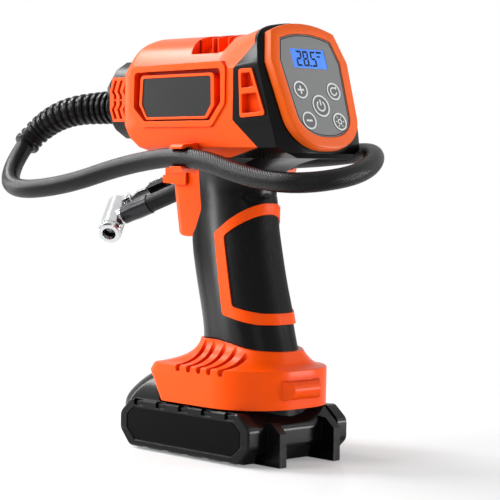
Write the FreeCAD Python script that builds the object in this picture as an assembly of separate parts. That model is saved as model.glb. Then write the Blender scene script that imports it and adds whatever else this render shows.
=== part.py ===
import FreeCAD, Part
import math
import os

os.makedirs("parts", exist_ok=True)
V = FreeCAD.Vector

# Cordless tire inflator. Millimetres, +Z up, +X towards the panel, -Y is the label side.
# The origin is on the floor under the middle of the battery.

# head
head_half = 32.6
head_floor = 162.3
crease_z = 208.0
wall = 2.4
head_front_x = -60.0
rear_start_x = 16.0
circle_z = 197.0
seam_side_x = 31.5
seam_gap = 0.06

# display, measured along its own axes from a point on the panel plane
tilt_deg = 20.4
panel_x = 61.15
panel_z = 200.0
ledge_depth = 5.0
panel_thick = 2.6
panel_recess = 0.4
key_gap = 0.2
key_travel = 0.5
key_ring_r = 5.0
power_ring_r = 6.2
lcd_half = 12.7
lcd_low = 10.6
lcd_high = 21.6

# nose, boot, hose and chuck
nose_axis_z = 194.9
hose_axis_z = 191.8
nose_half = 22.0
nose_tip_half = 16.6
nose_shoulder_x = -84.0
nose_tip_x = -93.0
hose_d = 10.8
hose_bore_d = 5.4
boot_bore_gap = 0.3
boot_root_r = 10.1
boot_end_r = 7.4
boot_ribs = 16
rib_pitch = 4.6
rib_depth = 1.15
collar_r = 7.9
collar_length = 4.2
clip_gap = 0.45
clip_y = 38.2
clip_z = 161.9
clip_x0 = -6.2
clip_x1 = 3.6

# handle
handle_foot_z = 46.0
border_raise = 1.3
pad_raise = 0.7

# battery
plate_half_l = 52.5
plate_half_w = 37.5
plate_thick = 7.8
plate_top = 27.8
case_split_z = 10.6
slide_gap = 0.35
rail_top = 43.6
rail_half = 27.0
groove_half = 23.8
groove_low = 33.6
groove_high = 38.0
platform_front = -24.0
platform_rear = 31.4
base_floor_z = 29.0

# pump train
motor_z = 188.0
gear_module = 0.9
pinion_teeth = 12
gear_teeth = 31
pressure_deg = 25.0
backlash = 0.3
crank_radius = 6.0
rod_length = 30.0
bore_r = 9.0
piston_gap = 0.06
cylinder_x = 8.0
shaft_r = 2.0
running_gap = 0.05

hose_route = [
    (-84.0, 0.0, 191.8), (-106.0, 0.0, 191.8), (-134.0, -15.5, 189.2), (-160.0, -21.0, 174.6),
    (-153.0, -42.0, 153.0), (-127.0, -59.0, 141.5), (-88.0, -51.0, 145.2), (-44.0, -41.5, 158.2),
    (4.0, -37.6, 163.9), (53.0, -37.6, 151.0), (87.5, -33.0, 149.0), (94.5, 4.0, 155.0),
    (70.5, 39.4, 167.6), (30.0, 39.2, 163.2), (-34.0, 37.4, 160.6), (-80.2, 32.5, 143.8),
    (-100.8, 23.6, 134.4)]

nodes = {}


def box(x0, x1, y0, y1, z0, z1):
    return Part.makeBox(x1 - x0, y1 - y0, z1 - z0, V(x0, y0, z0))


def rod(start, direction, radius, length):
    return Part.makeCylinder(radius, length, start, direction)


def tube(start, direction, outer, inner, length):
    return rod(start, direction, outer, length).cut(rod(start, direction, inner, length))


def polygon(points):
    return Part.Face(Part.makePolygon(list(points) + [points[0]]))


def slab_x(points, x0, x1):
    return polygon([V(x0, y, z) for y, z in points]).extrude(V(x1 - x0, 0, 0))


def slab_y(points, y0, y1):
    return polygon([V(x, y0, z) for x, z in points]).extrude(V(0, y1 - y0, 0))


def slab_z(points, z0, z1):
    return polygon([V(x, y, z0) for x, y in points]).extrude(V(0, 0, z1 - z0))


def mirrored(shape):
    return shape.mirror(V(0, 0, 0), V(0, 1, 0))


def soft_slab_y(points, radius, y0, y1):
    """Slab whose side view outline has its corners rounded."""
    count = len(points)
    edges = []
    starts = []
    ends = []
    for i in range(count):
        corner = V(points[i][0], y0, points[i][1])
        back = V(points[i - 1][0], y0, points[i - 1][1]) - corner
        ahead = V(points[(i + 1) % count][0], y0, points[(i + 1) % count][1]) - corner
        turn = math.pi - back.getAngle(ahead)
        reach = min(radius * math.tan(turn / 2), 0.46 * back.Length, 0.46 * ahead.Length)
        back.normalize()
        ahead.normalize()
        middle = back + ahead
        middle.normalize()
        bend = reach / math.tan(turn / 2)
        centre = corner + middle * math.hypot(bend, reach)
        starts.append(corner + back * reach)
        ends.append(corner + ahead * reach)
        edges.append(arc_edge(starts[-1], centre - middle * bend, ends[-1]))
    joined = []
    for i in range(count):
        joined.append(edges[i])
        joined.append(line_edge(ends[i], starts[(i + 1) % count]))
    return Part.Face(Part.Wire(joined)).extrude(V(0, y1 - y0, 0))


def pair(shape):
    """Two equal pieces, one on each side."""
    return Part.makeCompound([shape, mirrored(shape)])


def both_sides(shape):
    return shape.fuse(mirrored(shape))


def near_half(shape):
    return shape.common(box(-200, 200, -200, -seam_gap / 2, -10, 300))


def far_half(shape):
    return shape.common(box(-200, 200, seam_gap / 2, 200, -10, 300))


def loft(wires, ruled=False):
    return Part.makeLoft(wires, True, ruled)


def save(shape, node):
    """Write one node, with the faces of split planes merged."""
    shape = shape.removeSplitter() if len(shape.Solids) == 1 else shape
    solids = len(shape.Solids)
    nodes[node] = shape
    shape.exportStep("parts/" + node + ".step")
    print("%-22s solids %d valid %s volume %.1f" % (node, solids, shape.isValid(), shape.Volume))


def arc_edge(a, b, c):
    return Part.Arc(a, b, c).toShape()


def line_edge(a, b):
    return Part.LineSegment(a, b).toShape()


def spline_edge(points):
    curve = Part.BSplineCurve()
    curve.interpolate(points)
    return curve.toShape()


def plan_wire(z, front, rear, half, front_r, rear_r):
    """Rounded rectangle at height z with its own radii at the two ends."""
    s = math.sqrt(0.5)
    fx = front + front_r
    rx = rear - rear_r
    fy = half - front_r
    ry = half - rear_r
    return Part.Wire([
        line_edge(V(fx, -half, z), V(rx, -half, z)),
        arc_edge(V(rx, -half, z), V(rx + rear_r * s, -ry - rear_r * s, z), V(rear, -ry, z)),
        line_edge(V(rear, -ry, z), V(rear, ry, z)),
        arc_edge(V(rear, ry, z), V(rx + rear_r * s, ry + rear_r * s, z), V(rx, half, z)),
        line_edge(V(rx, half, z), V(fx, half, z)),
        arc_edge(V(fx, half, z), V(fx - front_r * s, fy + front_r * s, z), V(front, fy, z)),
        line_edge(V(front, fy, z), V(front, -fy, z)),
        arc_edge(V(front, -fy, z), V(fx - front_r * s, -fy - front_r * s, z), V(fx, -half, z))])


# local directions of the tilted display
tilt = math.radians(tilt_deg)
screen_out = V(math.cos(tilt), 0, math.sin(tilt))
screen_up = V(-math.sin(tilt), 0, math.cos(tilt))
screen_zero = V(panel_x, 0, panel_z)


def on_screen(out, y, up):
    return screen_zero + screen_out * out + V(0, y, 0) + screen_up * up


def plane_x(z, out):
    """X of the plane at distance out from the panel face, at height z."""
    return panel_x + (panel_z - z) * math.tan(tilt) + out / math.cos(tilt)


# Head sections

head_low = [(19.5, 0.0), (31.3, 5.3), (32.6, 18.7)]
round_top = [(32.6, 208.0), (28.4, 214.9), (22.6, 221.9), (10.3, 228.1), (0.0, 229.7)]
screen_top = [(32.6, 212.0), (30.2, 220.3), (26.0, 228.6), (13.5, 232.9), (0.0, 234.2)]


def section_wire(top, place, inset):
    """Closed head section: flat floor, facets, sides and one spline over the top."""
    half = []
    for y, dz in head_low:
        lift = inset if dz < 10 else 0.0
        half.append((y - inset * (0.6 if dz == 0 else 1.0), head_floor + dz + lift))
    over = []
    for y, z in top:
        length = math.hypot(y, z - circle_z)
        over.append((y * (1 - inset / length), circle_z + (z - circle_z) * (1 - inset / length)))
    over[0] = (top[0][0] - inset, over[0][1])
    right = half + [over[0]]
    points = [place(y, z) for y, z in right]
    left = [place(-y, z) for y, z in right]
    edges = [line_edge(left[0], points[0])]
    for a, b in zip(points, points[1:]):
        edges.append(line_edge(a, b))
    crown = [place(y, z) for y, z in over] + [place(-y, z) for y, z in reversed(over[:-1])]
    edges.append(spline_edge(crown))
    for a, b in zip(reversed(left), list(reversed(left))[1:]):
        edges.append(line_edge(a, b))
    return Part.Wire(edges)


def head_wire(x, inset=0.0):
    return section_wire(round_top, lambda y, z: V(x, y, z), inset)


def ledge_wire(out, inset=0.0):
    return section_wire(screen_top, lambda y, z: V(plane_x(z, out), y, z), inset)


head_outer = loft([head_wire(head_front_x, 3.0), head_wire(head_front_x + 1.0, 1.3),
                   head_wire(head_front_x + 2.4, 0.35), head_wire(head_front_x + 4.2),
                   head_wire(rear_start_x), ledge_wire(-ledge_depth)], True)
head_inner = loft([head_wire(head_front_x + wall, 3.6), head_wire(head_front_x + 5, wall),
                   head_wire(rear_start_x, wall), ledge_wire(-ledge_depth - wall, wall)], True)
chin = [(-75.0, 150.0), (-75.0, 181.0), (-58.4, 181.0), (-53.2, 172.6), (-46.2, 167.8), (-41.0, 164.6),
        (-36.5, 162.2), (-36.5, 150.0)]
head_outer = head_outer.cut(slab_y(chin, -50, 50))
head_inner = head_inner.cut(slab_y([(x + wall * 0.8, z + wall * 0.8) for x, z in chin], -50, 50))


# Handle and neck

handle_rows = [
    (40.0, -14.0, 46.4, 17.4, 14.0, 16.6),
    (52.0, -13.8, 44.4, 17.4, 14.0, 16.6),
    (60.0, -13.4, 42.4, 17.8, 14.0, 16.8),
    (68.0, -13.2, 39.8, 18.2, 14.0, 17.0),
    (78.0, -15.0, 37.2, 18.3, 14.0, 17.2),
    (92.0, -18.8, 33.2, 18.1, 14.0, 17.2),
    (105.0, -22.2, 30.0, 17.7, 13.8, 16.8),
    (117.0, -24.4, 27.4, 17.2, 13.4, 16.2),
    (130.0, -24.0, 25.8, 16.4, 13.2, 15.4),
    (142.0, -23.6, 24.8, 15.8, 13.0, 14.4)]
neck_rows = [
    (142.0, -23.6, 24.8, 15.8, 13.0, 14.4),
    (149.0, -23.6, 26.0, 16.2, 13.2, 14.4),
    (154.0, -23.8, 29.8, 17.0, 13.4, 14.8),
    (158.0, -24.2, 36.6, 18.0, 13.6, 15.4),
    (160.6, -24.6, 45.0, 18.8, 13.8, 16.0),
    (163.4, -25.2, 60.0, 19.4, 14.0, 16.6)]


def handle_loft(rows, inset=0.0, extra=0.0):
    wires = []
    for z, front, rear, half, front_r, rear_r in rows:
        wires.append(plan_wire(z, front + inset, rear - inset, half - inset,
                               front_r - inset, rear_r - inset))
    return loft(wires)


handle_outer = handle_loft(handle_rows)
neck_outer = handle_loft(neck_rows)
handle_inner = handle_loft(handle_rows, wall)
neck_inner = handle_loft(neck_rows, wall)

# side view outlines of the grip overmould, outer border edge and pad edge
border_outline = [(60, 139.5), (28.5, 138.8), (22.6, 135.0), (2.6, 121.6), (11.6, 77.2), (34.0, 73.0),
                  (62, 71.9)]
pad_outline = [(60, 133.0), (27.6, 132.4), (10.2, 120.0), (19.0, 82.2), (34.6, 79.0), (62, 78.0)]


def grip_parts():
    skin_border = handle_loft(handle_rows, -border_raise)
    skin_pad = handle_loft(handle_rows, -pad_raise)
    bed = handle_loft(handle_rows, 1.0)
    outer_zone = soft_slab_y(border_outline, 3.0, -60, 60)
    pad_zone = soft_slab_y(pad_outline, 2.4, -60, 60)
    border = skin_border.common(outer_zone).cut(bed).cut(pad_zone)
    pad = skin_pad.common(pad_zone).cut(bed)
    pocket = outer_zone.common(handle_outer).cut(bed)
    return border, pad, pocket


grip_border, grip_pad, grip_pocket = grip_parts()


# Orange and black regions of the head

side_zone = slab_y([(-90, 100), (-90, crease_z + 1), (seam_side_x, crease_z + 1), (seam_side_x, 182.0),
                    (49.6, 167.6), (14.0, head_floor - 0.4), (14.0, 100)], -60, 60)
crown_zone = slab_y([(-90, crease_z + 1), (seam_side_x, crease_z + 1), (plane_x(221.9, -8.5), 221.9),
                     (plane_x(250, -8.5), 250), (-90, 250)], -60, 60)
orange_zone = side_zone.fuse(crown_zone)

frame_outer = [(-49.4, 212.2), (22.2, 213.4), (26.0, 210.0), (26.0, 190.6), (15.8, 178.6),
               (-40.8, 178.4), (-52.2, 188.0), (-52.2, 209.6)]
frame_inner = [(-48.4, 208.8), (22.4, 209.6), (22.8, 191.6), (14.2, 181.9), (-39.6, 181.7), (-48.6, 189.2)]
bed_plate = [(-43.6, 207.0), (16.6, 207.4), (17.2, 190.0), (11.6, 182.9), (-38.6, 182.6), (-44.6, 190.8)]
label_outline = [(-41.5, 205.4), (14.1, 205.8), (14.6, 190.6), (10.0, 184.3), (-37.8, 184.0),
                 (-42.5, 191.2)]
label_lip = 0.4
frame_proud = 0.9
bed_depth = 4.2
bed_plate_height = 3.5
label_thick = 0.5

vent_hole = [(34.9, 210.2), (47.2, 210.6), (58.8, 183.4), (57.7, 182.2), (36.5, 181.4)]
vent_body = [(36.1, 208.8), (46.1, 209.1), (57.0, 184.2), (37.7, 183.0)]
vent_windows = [
    [(38.2, 206.6), (44.9, 206.8), (48.4, 199.4), (38.7, 198.6)],
    [(38.9, 195.6), (50.0, 196.2), (54.2, 186.2), (39.4, 185.4)]]

pocket_side = [(-17.6, 0.0), (-17.4, 11.0), (-14.2, 17.5), (-11.7, 22.1), (-10.0, 25.0), (-8.4, 26.0),
               (12.0, 26.0), (15.6, 25.4), (17.4, 23.4), (17.0, 21.0), (14.4, 16.4), (12.0, 12.0),
               (11.2, 6.0), (11.2, 0.0)]
pocket_wall = 1.6
pocket_floor_z = 214.8
crown_slot_top = 223.0
pocket_fins = [-15.6, -6.2, -1.8, 6.5]
fin_half = 13.0
gear_bulge = (-16.2, -8.4, 15.4)
crank_bulge = (-8.4, 14.0, 12.0)
rod_sweep = (5.1, 10.5, 13.9)


def pocket_plan(grow):
    """Both sides of the pocket outline, grown by an offset."""
    near = []
    for x, y in pocket_side:
        near.append((x + (grow if x > 0 else -grow), y + (grow if y > 20 else 0.0)))
    return near + [(x, -y) for x, y in reversed(near)][1:-1]


def bulge(span, extra, start=0.0):
    """Roof over the gear or the crank, inside the pocket."""
    x0, x1, radius = span
    return rod(V(x0 - extra - start, 0, motor_z + gear_module * (pinion_teeth + gear_teeth) / 2), V(1, 0, 0),
               radius + extra, x1 - x0 + 2 * extra + 2 * start)


def top_pocket(shell):
    """Deep vent in the crown with upright fins over a floor that clears the gear."""
    zone = slab_z(pocket_plan(0.0), pocket_floor_z, 250)
    block = slab_z(pocket_plan(pocket_wall), pocket_floor_z - pocket_wall, 250).common(head_outer)
    block = block.cut(zone)
    roof = bulge(gear_bulge, 1.4).fuse(bulge(crank_bulge, 1.4))
    roof = roof.common(slab_z(pocket_plan(0.2), pocket_floor_z - 0.4, 250))
    fins = None
    for x in pocket_fins:
        fin = box(x - 0.45, x + 0.45, -fin_half, fin_half, pocket_floor_z - 0.4, 250)
        fins = fin if fins is None else fins.fuse(fin)
    fins = fins.common(head_outer)
    shell = shell.cut(zone).fuse(block).fuse(roof).fuse(fins)
    shell = shell.cut(bulge(gear_bulge, 0.0)).cut(bulge(crank_bulge, 0.0, 0.4))
    for x0, x1 in ((-4.9, -3.2), (0.4, 4.0)):
        shell = shell.cut(box(x0, x1, -8.0, 8.0, pocket_floor_z, crown_slot_top))
    return shell.cut(bulge(rod_sweep, 0.0))


def trigger_visor():
    """Orange block under the head that shades the top of the trigger."""
    body = box(-48.8, -31.2, -9.4, 9.4, 150.0, 172.0)
    lip = slab_y([(-49.9, 152.2), (-49.9, 147.9), (-31.6, 146.7), (-30.6, 147.5), (-30.6, 152.2)], -10.2, 10.2)
    hollow = box(-47.8, -28.0, -8.5, 8.5, 146.0, 160.4)
    return body.fuse(lip).cut(hollow).cut(head_inner)


def hose_clip():
    """C-shaped clip on the near side; the hose snaps in from the side."""
    seat_r = hose_d / 2 + clip_gap
    body = slab_x([(-29.5, 169.6), (-33.0, 170.0), (-42.0, 168.9), (-43.6, 167.6), (-43.6, 166.2),
                   (-43.6, 157.4), (-43.6, 156.4), (-42.4, 154.4), (-33.5, 153.9), (-30.2, 156.4),
                   (-29.0, 161.0)], clip_x0, clip_x1)
    seat = rod(V(clip_x0 - 1, -clip_y, clip_z), V(1, 0, 0), seat_r, clip_x1 - clip_x0 + 2)
    mouth = box(clip_x0 - 1, clip_x1 + 1, -50, -clip_y, clip_z - 4.7, clip_z + 4.7)
    return body.cut(seat).cut(mouth)


lamp_spot = V(-49.7, 0, 170.2)
lamp_dir = V(-0.566, 0, -0.825)
screw_spots = [(-50.0, 214.5), (-30.0, 221.0), (27.4, 168.6), (-2.0, 106.0), (14.0, 66.0)]
boss_r = 3.6


def screw_hole_tools(boss):
    """Boss cylinders or the drilled holes, for all housing screws."""
    shapes = []
    for x, z in screw_spots:
        if boss:
            shapes.append(rod(V(x, -36, z), V(0, 1, 0), boss_r, 72))
        else:
            shapes.append(rod(V(x, -10, z), V(0, 1, 0), 1.3, 10.2))
            shapes.append(rod(V(x, 0, z), V(0, 1, 0), 1.75, 40))
            shapes.append(rod(V(x, 12, z), V(0, 1, 0), 3.2, 40))
    tool = shapes[0]
    for extra in shapes[1:]:
        tool = tool.fuse(extra)
    return tool


def screws():
    made = []
    for x, z in screw_spots:
        shank = rod(V(x, -9, z), V(0, 1, 0), 1.25, 21)
        head = rod(V(x, 12, z), V(0, 1, 0), 2.8, 2.2)
        cross = box(x - 1.7, x + 1.7, 13.2, 15, z - 0.35, z + 0.35)
        cross = cross.fuse(box(x - 0.35, x + 0.35, 13.2, 15, z - 1.7, z + 1.7))
        made.append(shank.fuse(head).cut(cross))
    return Part.makeCompound(made)


def housing():
    """Orange shell and black housing, both still whole."""
    body = tapered(head_outer, 6.8, -5.0).cut(tapered(head_inner, 6.3, -7.4))
    boss = screw_hole_tools(True)
    grip_core = handle_outer.fuse(neck_outer).cut(both_sides(finger_scoop(0.0)))
    throat = handle_inner.fuse(neck_inner).cut(both_sides(finger_scoop(wall)))
    head_boss = boss.common(head_outer).common(box(-80, 80, -31.4, 31.4, 163, 228))
    body = body.fuse(head_boss)

    orange = body.common(orange_zone)
    frame = both_sides(soft_slab_y(frame_outer, 3.6, -head_half - frame_proud, -head_half + 4))
    frame = frame.common(orange_zone)
    bed_wall = both_sides(slab_y(frame_outer, -head_half, -head_half + bed_depth + 2.0))
    bed = both_sides(soft_slab_y(frame_inner, 2.6, -60, -head_half + bed_depth))
    face = -head_half + bed_depth - bed_plate_height
    plate = soft_slab_y(bed_plate, 2.4, face - label_thick - label_lip, -head_half + bed_depth)
    plate = both_sides(plate.cut(soft_slab_y(label_outline, 1.6, -60, face)))
    orange = orange.fuse(frame).fuse(bed_wall.common(orange_zone)).cut(bed).fuse(plate)
    orange = top_pocket(orange)

    orange = orange.fuse(trigger_visor()).fuse(both_sides(hose_clip()))
    orange = orange.cut(head_floor_hole())
    nose_seat = slab_x(nose_points(nose_half + 0.1), head_front_x - 5, head_front_x + 5)
    orange = orange.cut(nose_seat)
    orange = orange.cut(rod(lamp_spot + lamp_dir * 2, lamp_dir * -1, 2.4, 10))
    orange = orange.cut(grip_core)

    black = body.cut(orange_zone).cut(head_floor_hole())
    handle = grip_core.cut(throat).cut(head_outer)
    handle = handle.fuse(boss.common(grip_core).common(box(-40, 60, -40, 40, 40, 130)))
    black = black.fuse(handle)
    vent_wall = both_sides(slab_y(vent_hole, -head_half + 0.2, -head_half + 6.0))
    black = black.fuse(vent_wall.common(head_outer)).cut(
        both_sides(soft_slab_y(vent_body, 1.6, -60, -head_half + 5.0)))
    opening = screen_prism(-2.2, -ledge_depth - wall - 3, -ledge_depth + 2)
    black = black.cut(opening)
    black = black.cut(box(-40, -8.6, -8.4, 8.4, 116.8, 160.4))
    black = black.cut(grip_pocket)
    black = black.cut(box(-40, 60, -40, 40, 30, handle_foot_z))

    holes = screw_hole_tools(False)
    return orange.cut(holes), black.cut(holes)


# near edge of the finger scoops beside the trigger, as offsets along scoop_side against height
scoop_side = V(0.6878, 0.7257, 0)
scoop_edge = [(-21.2, 162.0), (-20.4, 153.0), (-19.5, 141.0), (-18.9, 134.6), (-19.2, 132.4), (-22.0, 123.2),
              (-24.4, 118.2)]


def finger_scoop(shift):
    """Slanted cut that lets a finger reach the side of the trigger."""
    low = scoop_edge[-1][1] - shift
    line = [(offset + shift, z) for offset, z in scoop_edge[:-1]] + [(scoop_edge[-1][0], low)]
    outline = [(-60.0, line[0][1])] + line + [(-60.0, low)]
    across = V(-scoop_side.y, scoop_side.x, 0)
    corners = [scoop_side * offset + V(0, 0, z) - across * 60 for offset, z in outline]
    return polygon(corners).extrude(across * 120)


def head_floor_hole():
    """Passage between the head and the neck."""
    return box(-20.0, 42.0, -15.0, 15.0, head_floor - 3, head_floor + wall + 0.6)


# Display outlines, in the panel plane: up offset against half width

panel_sides = [(18.8, 26.8), (22.6, 14.7), (19.7, -16.5)]
panel_top = 30.2
panel_foot = -28.1


def screen_wire(grow, out):
    """Panel outline grown by an offset: arched top, straight sides, round foot."""
    (x1, u1), (x2, u2), (x3, u3) = panel_sides
    x1 = x1 + grow * 0.75
    u1 = u1 + grow * 0.75
    x2 = x2 + grow
    x3 = x3 + grow
    top = panel_top + grow
    foot = panel_foot - grow
    foot_curve = [(x3, u3), (x3 * 0.86, u3 + (foot - u3) * 0.50), (x3 * 0.52, u3 + (foot - u3) * 0.88),
                  (0.0, foot)]
    right = [on_screen(out, y, u) for y, u in foot_curve]
    left = [on_screen(out, -y, u) for y, u in reversed(foot_curve[:-1])]
    edges = [
        arc_edge(on_screen(out, -x1, u1), on_screen(out, 0, top), on_screen(out, x1, u1)),
        line_edge(on_screen(out, x1, u1), on_screen(out, x2, u2)),
        line_edge(on_screen(out, x2, u2), right[0]),
        spline_edge(right + left),
        line_edge(left[-1], on_screen(out, -x2, u2)),
        line_edge(on_screen(out, -x2, u2), on_screen(out, -x1, u1))]
    return Part.Wire(edges)


def screen_prism(grow, out0, out1):
    face = Part.Face(screen_wire(grow, out0))
    return face.extrude(screen_out * (out1 - out0))


def tapered(shape, grow, out):
    """Head shape narrowed towards the bezel by a cone that spreads 12 over a depth of 5."""
    cone = loft([screen_wire(grow, out), screen_wire(grow + 12.0, out - 5.0)], True)
    behind = screen_box(-60, 60, -150, 150, out - 160.0, out - 5.0)
    return shape.common(cone.fuse(behind))


def screen_rod(y, up, radius, out0, out1):
    return rod(on_screen(out0, y, up), screen_out, radius, out1 - out0)


def screen_box(y0, y1, u0, u1, out0, out1):
    corners = [on_screen(out0, y0, u0), on_screen(out0, y1, u0), on_screen(out0, y1, u1),
               on_screen(out0, y0, u1)]
    return polygon(corners).extrude(screen_out * (out1 - out0))


keys = {"key_plus": (-12.3, -2.0, key_ring_r), "key_mode": (12.3, -2.0, key_ring_r),
        "key_minus": (-11.4, -19.1, key_ring_r), "key_light": (11.4, -19.1, key_ring_r),
        "key_power": (0.0, -10.6, power_ring_r)}
board_out = -11.0


def display():
    ring = loft([screen_wire(6.3, -ledge_depth), screen_wire(6.15, -0.9), screen_wire(5.8, -0.25),
                 screen_wire(5.2, 0.0)], True)
    spigot = screen_prism(-2.5, -ledge_depth - wall, -ledge_depth)
    ring = ring.fuse(spigot)
    seat_back = -panel_recess - panel_thick
    ring = ring.cut(screen_prism(0.1, seat_back, 3))
    ring = ring.cut(screen_prism(-3.2, -12, 3))
    ring = ring.cut(screen_box(-16.4, 16.4, 7.2, 25.0, -12, seat_back))
    for y, up, radius in keys.values():
        ring = ring.cut(screen_rod(y, up, radius + 1.3, -12, seat_back))
    save(ring, "bezel")

    panel = screen_prism(-0.3, seat_back, -panel_recess)
    window = screen_box(-lcd_half, lcd_half, lcd_low, lcd_high, -6, 2)
    panel = panel.cut(window)
    for y, up, radius in keys.values():
        panel = panel.cut(screen_rod(y, up, radius + key_gap, -6, 2))
    save(panel, "control_panel")

    save(screen_box(-lcd_half, lcd_half, lcd_low, lcd_high, seat_back + 1.0, -panel_recess - 0.2),
         "lcd_window")
    save(screen_box(-16.0, 16.0, 7.6, 24.6, seat_back - 4.0, seat_back), "lcd_module")

    key_front = -0.15
    for name, (y, up, radius) in keys.items():
        cap = screen_rod(y, up, radius, seat_back - 0.9, key_front)
        flange = screen_rod(y, up, radius + 0.9, seat_back - 1.5, seat_back - 0.3)
        stem = screen_rod(y, up, 1.6, seat_back - 4.6, seat_back - 0.9)
        save(cap.fuse(flange).fuse(stem), name)

    board = screen_box(-16.5, 16.5, -23.0, 24.5, board_out - 1.6, board_out)
    save(board, "display_board")
    made = []
    for y, up, radius in keys.values():
        body = screen_box(y - 3.0, y + 3.0, up - 3.0, up + 3.0, board_out, board_out + 2.2)
        top = seat_back - 4.6 - key_travel - 0.1
        made.append(body.fuse(screen_rod(y, up, 1.5, board_out + 2.0, top)))
    save(Part.makeCompound(made), "tact_switches")
    save(screen_box(-6, 6, 6.0, 16.0, board_out - 6.6, board_out - 1.6).fuse(
        screen_rod(0, 11.0, 1.6, board_out - 9.6, board_out - 6.6)), "pressure_sensor")


# Nose, grilles, light

def nose_points(half):
    a = 0.42 * half
    b = 0.78 * half
    quarter = [(half, a), (b, b), (a, half)]
    ring = quarter + [(-y, z) for y, z in reversed(quarter)]
    ring += [(-y, -z) for y, z in quarter] + [(y, -z) for y, z in reversed(quarter)]
    return [(y, nose_axis_z + z) for y, z in ring]


def nose_wire(x, half):
    points = [V(x, y, z) for y, z in nose_points(half)]
    return Part.makePolygon(points + [points[0]])


grille_outline = [(-83.2, 200.0), (-80.6, 207.4), (-63.0, 207.4), (-63.0, 182.2), (-80.2, 182.2),
                  (-83.2, 189.6)]
grille_columns = [-79.4, -74.4, -69.4]
grille_thick = 1.8


def nose():
    flange = slab_x(nose_points(nose_half + 1.6), head_front_x + wall + 0.1, head_front_x + wall + 2.1)
    trimmed = flange.common(head_inner)
    body = loft([nose_wire(head_front_x + wall + 1.0, nose_half), nose_wire(nose_shoulder_x, nose_half),
                 nose_wire(nose_tip_x + 0.6, nose_tip_half + 0.4), nose_wire(nose_tip_x, nose_tip_half - 0.3)],
                True)
    body = body.fuse(trimmed)
    core = loft([nose_wire(head_front_x + 8, nose_half - 4.4), nose_wire(nose_shoulder_x + 1, nose_half - 4.4),
                 nose_wire(nose_tip_x + 6.0, nose_tip_half - 2.0)], True)
    body = body.cut(core)
    body = body.cut(rod(V(nose_tip_x - 1, 0, hose_axis_z), V(1, 0, 0), boot_root_r + 0.4, 4.0))
    body = body.cut(rod(V(nose_tip_x, 0, hose_axis_z), V(1, 0, 0), hose_d / 2 + 0.3, 12))
    for sign in (1, -1):
        seat = slab_y(grille_outline, -nose_half - 1, -nose_half + grille_thick)
        slot = slab_y(grille_slot_zone(), -nose_half - 1, -nose_half + 6)
        if sign < 0:
            seat = mirrored(seat)
            slot = mirrored(slot)
        body = body.cut(seat).cut(slot)
    save(body, "nose")

    grille = slab_y([(x, z) for x, z in grille_outline], -nose_half - 0.5, -nose_half + grille_thick)
    for column in grille_columns:
        for part in chevron(column):
            grille = grille.cut(slab_y(part, -nose_half - 2, -nose_half + 3))
    bars = box(-83, -64, -nose_half - 0.3, -nose_half + grille_thick, 194.0, 194.9)
    grille = grille.fuse(bars)
    save(pair(grille), "nose_grilles")


def grille_slot_zone():
    return [(-80.6, 205.4), (-66.0, 205.4), (-66.0, 184.2), (-80.6, 184.2)]


def chevron(x):
    """Five-stroke zigzag slot, upper stroke leaning, middle stroke upright."""
    w = 1.15
    path = [(x + 1.6, 205.6), (x - 1.0, 199.4), (x + 1.0, 196.8), (x + 1.0, 191.6), (x - 1.0, 189.2),
            (x + 1.6, 183.8)]
    quads = []
    for (xa, za), (xb, zb) in zip(path, path[1:]):
        quads.append([(xa - w, za), (xa + w, za), (xb + w, zb), (xb - w, zb)])
    return quads


def side_parts():
    """Label plates, side vents, work light."""
    face = -head_half + bed_depth - bed_plate_height
    label = soft_slab_y([(x * 0.996 - 0.05, 194.9 + (z - 194.9) * 0.99) for x, z in label_outline], 1.5,
                        face - label_thick, face)
    save(pair(label), "label_plates")
    body = soft_slab_y([(46.5 + (x - 46.5) * 0.985, 196 + (z - 196) * 0.99) for x, z in vent_body], 1.5,
                       -head_half - 0.8, -head_half + 4.9)
    for window in vent_windows:
        body = body.cut(soft_slab_y(window, 0.9, -head_half - 2, -head_half + 3.6))
    save(pair(body), "side_vents")
    lens = rod(lamp_spot + lamp_dir * 0.5, lamp_dir * -1, 2.35, 3.4)
    save(lens, "light_lens")


# Base shoe

base_rows = [
    (base_floor_z, -20.4, 53.8, 37.3, 5.0, 31.0),
    (45.2, -29.9, 53.8, 37.3, 5.0, 31.0),
    (48.7, -27.3, 53.8, 37.3, 5.0, 31.0),
    (49.4, -26.7, 53.6, 37.1, 5.0, 30.8),
    (49.8, -26.2, 53.0, 36.5, 5.0, 30.2)]
flare_rows = [
    (49.8, -26.2, 53.0, 36.5, 5.0, 30.2),
    (50.3, -25.0, 50.8, 33.0, 7.0, 27.0),
    (51.8, -22.0, 48.4, 28.4, 10.0, 22.8),
    (55.0, -17.8, 46.4, 23.4, 12.6, 19.2),
    (59.0, -15.4, 44.4, 20.4, 13.8, 17.6),
    (63.4, -14.4, 42.8, 19.0, 14.2, 17.2)]


def base_solid(inset=0.0, drop=0.0):
    stack = []
    for rows in (base_rows, flare_rows):
        wires = []
        for z, front, rear, half, front_r, rear_r in rows:
            wires.append(plan_wire(z - drop, front + inset, rear - inset, half - inset,
                                   max(front_r - inset, 1.0), rear_r - inset))
        stack.append(loft(wires, rows is not flare_rows))
    shape = stack[0]
    for part in stack[1:]:
        shape = shape.fuse(part)
    return shape


# groove feet on the wall and groove heads near the handle, in plan, label side
groove_ends = [((-4.6, -39.5), (-1.6, -20.4)), ((4.1, -39.5), (5.6, -20.8)), ((12.2, -39.5), (14.2, -21.0)),
               ((20.1, -39.5), (23.2, -21.4)), ((28.4, -39.5), (32.4, -21.8))]
flute_half = 1.75
flute_deep = 2.0
flute_foot_z = 46.2


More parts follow.
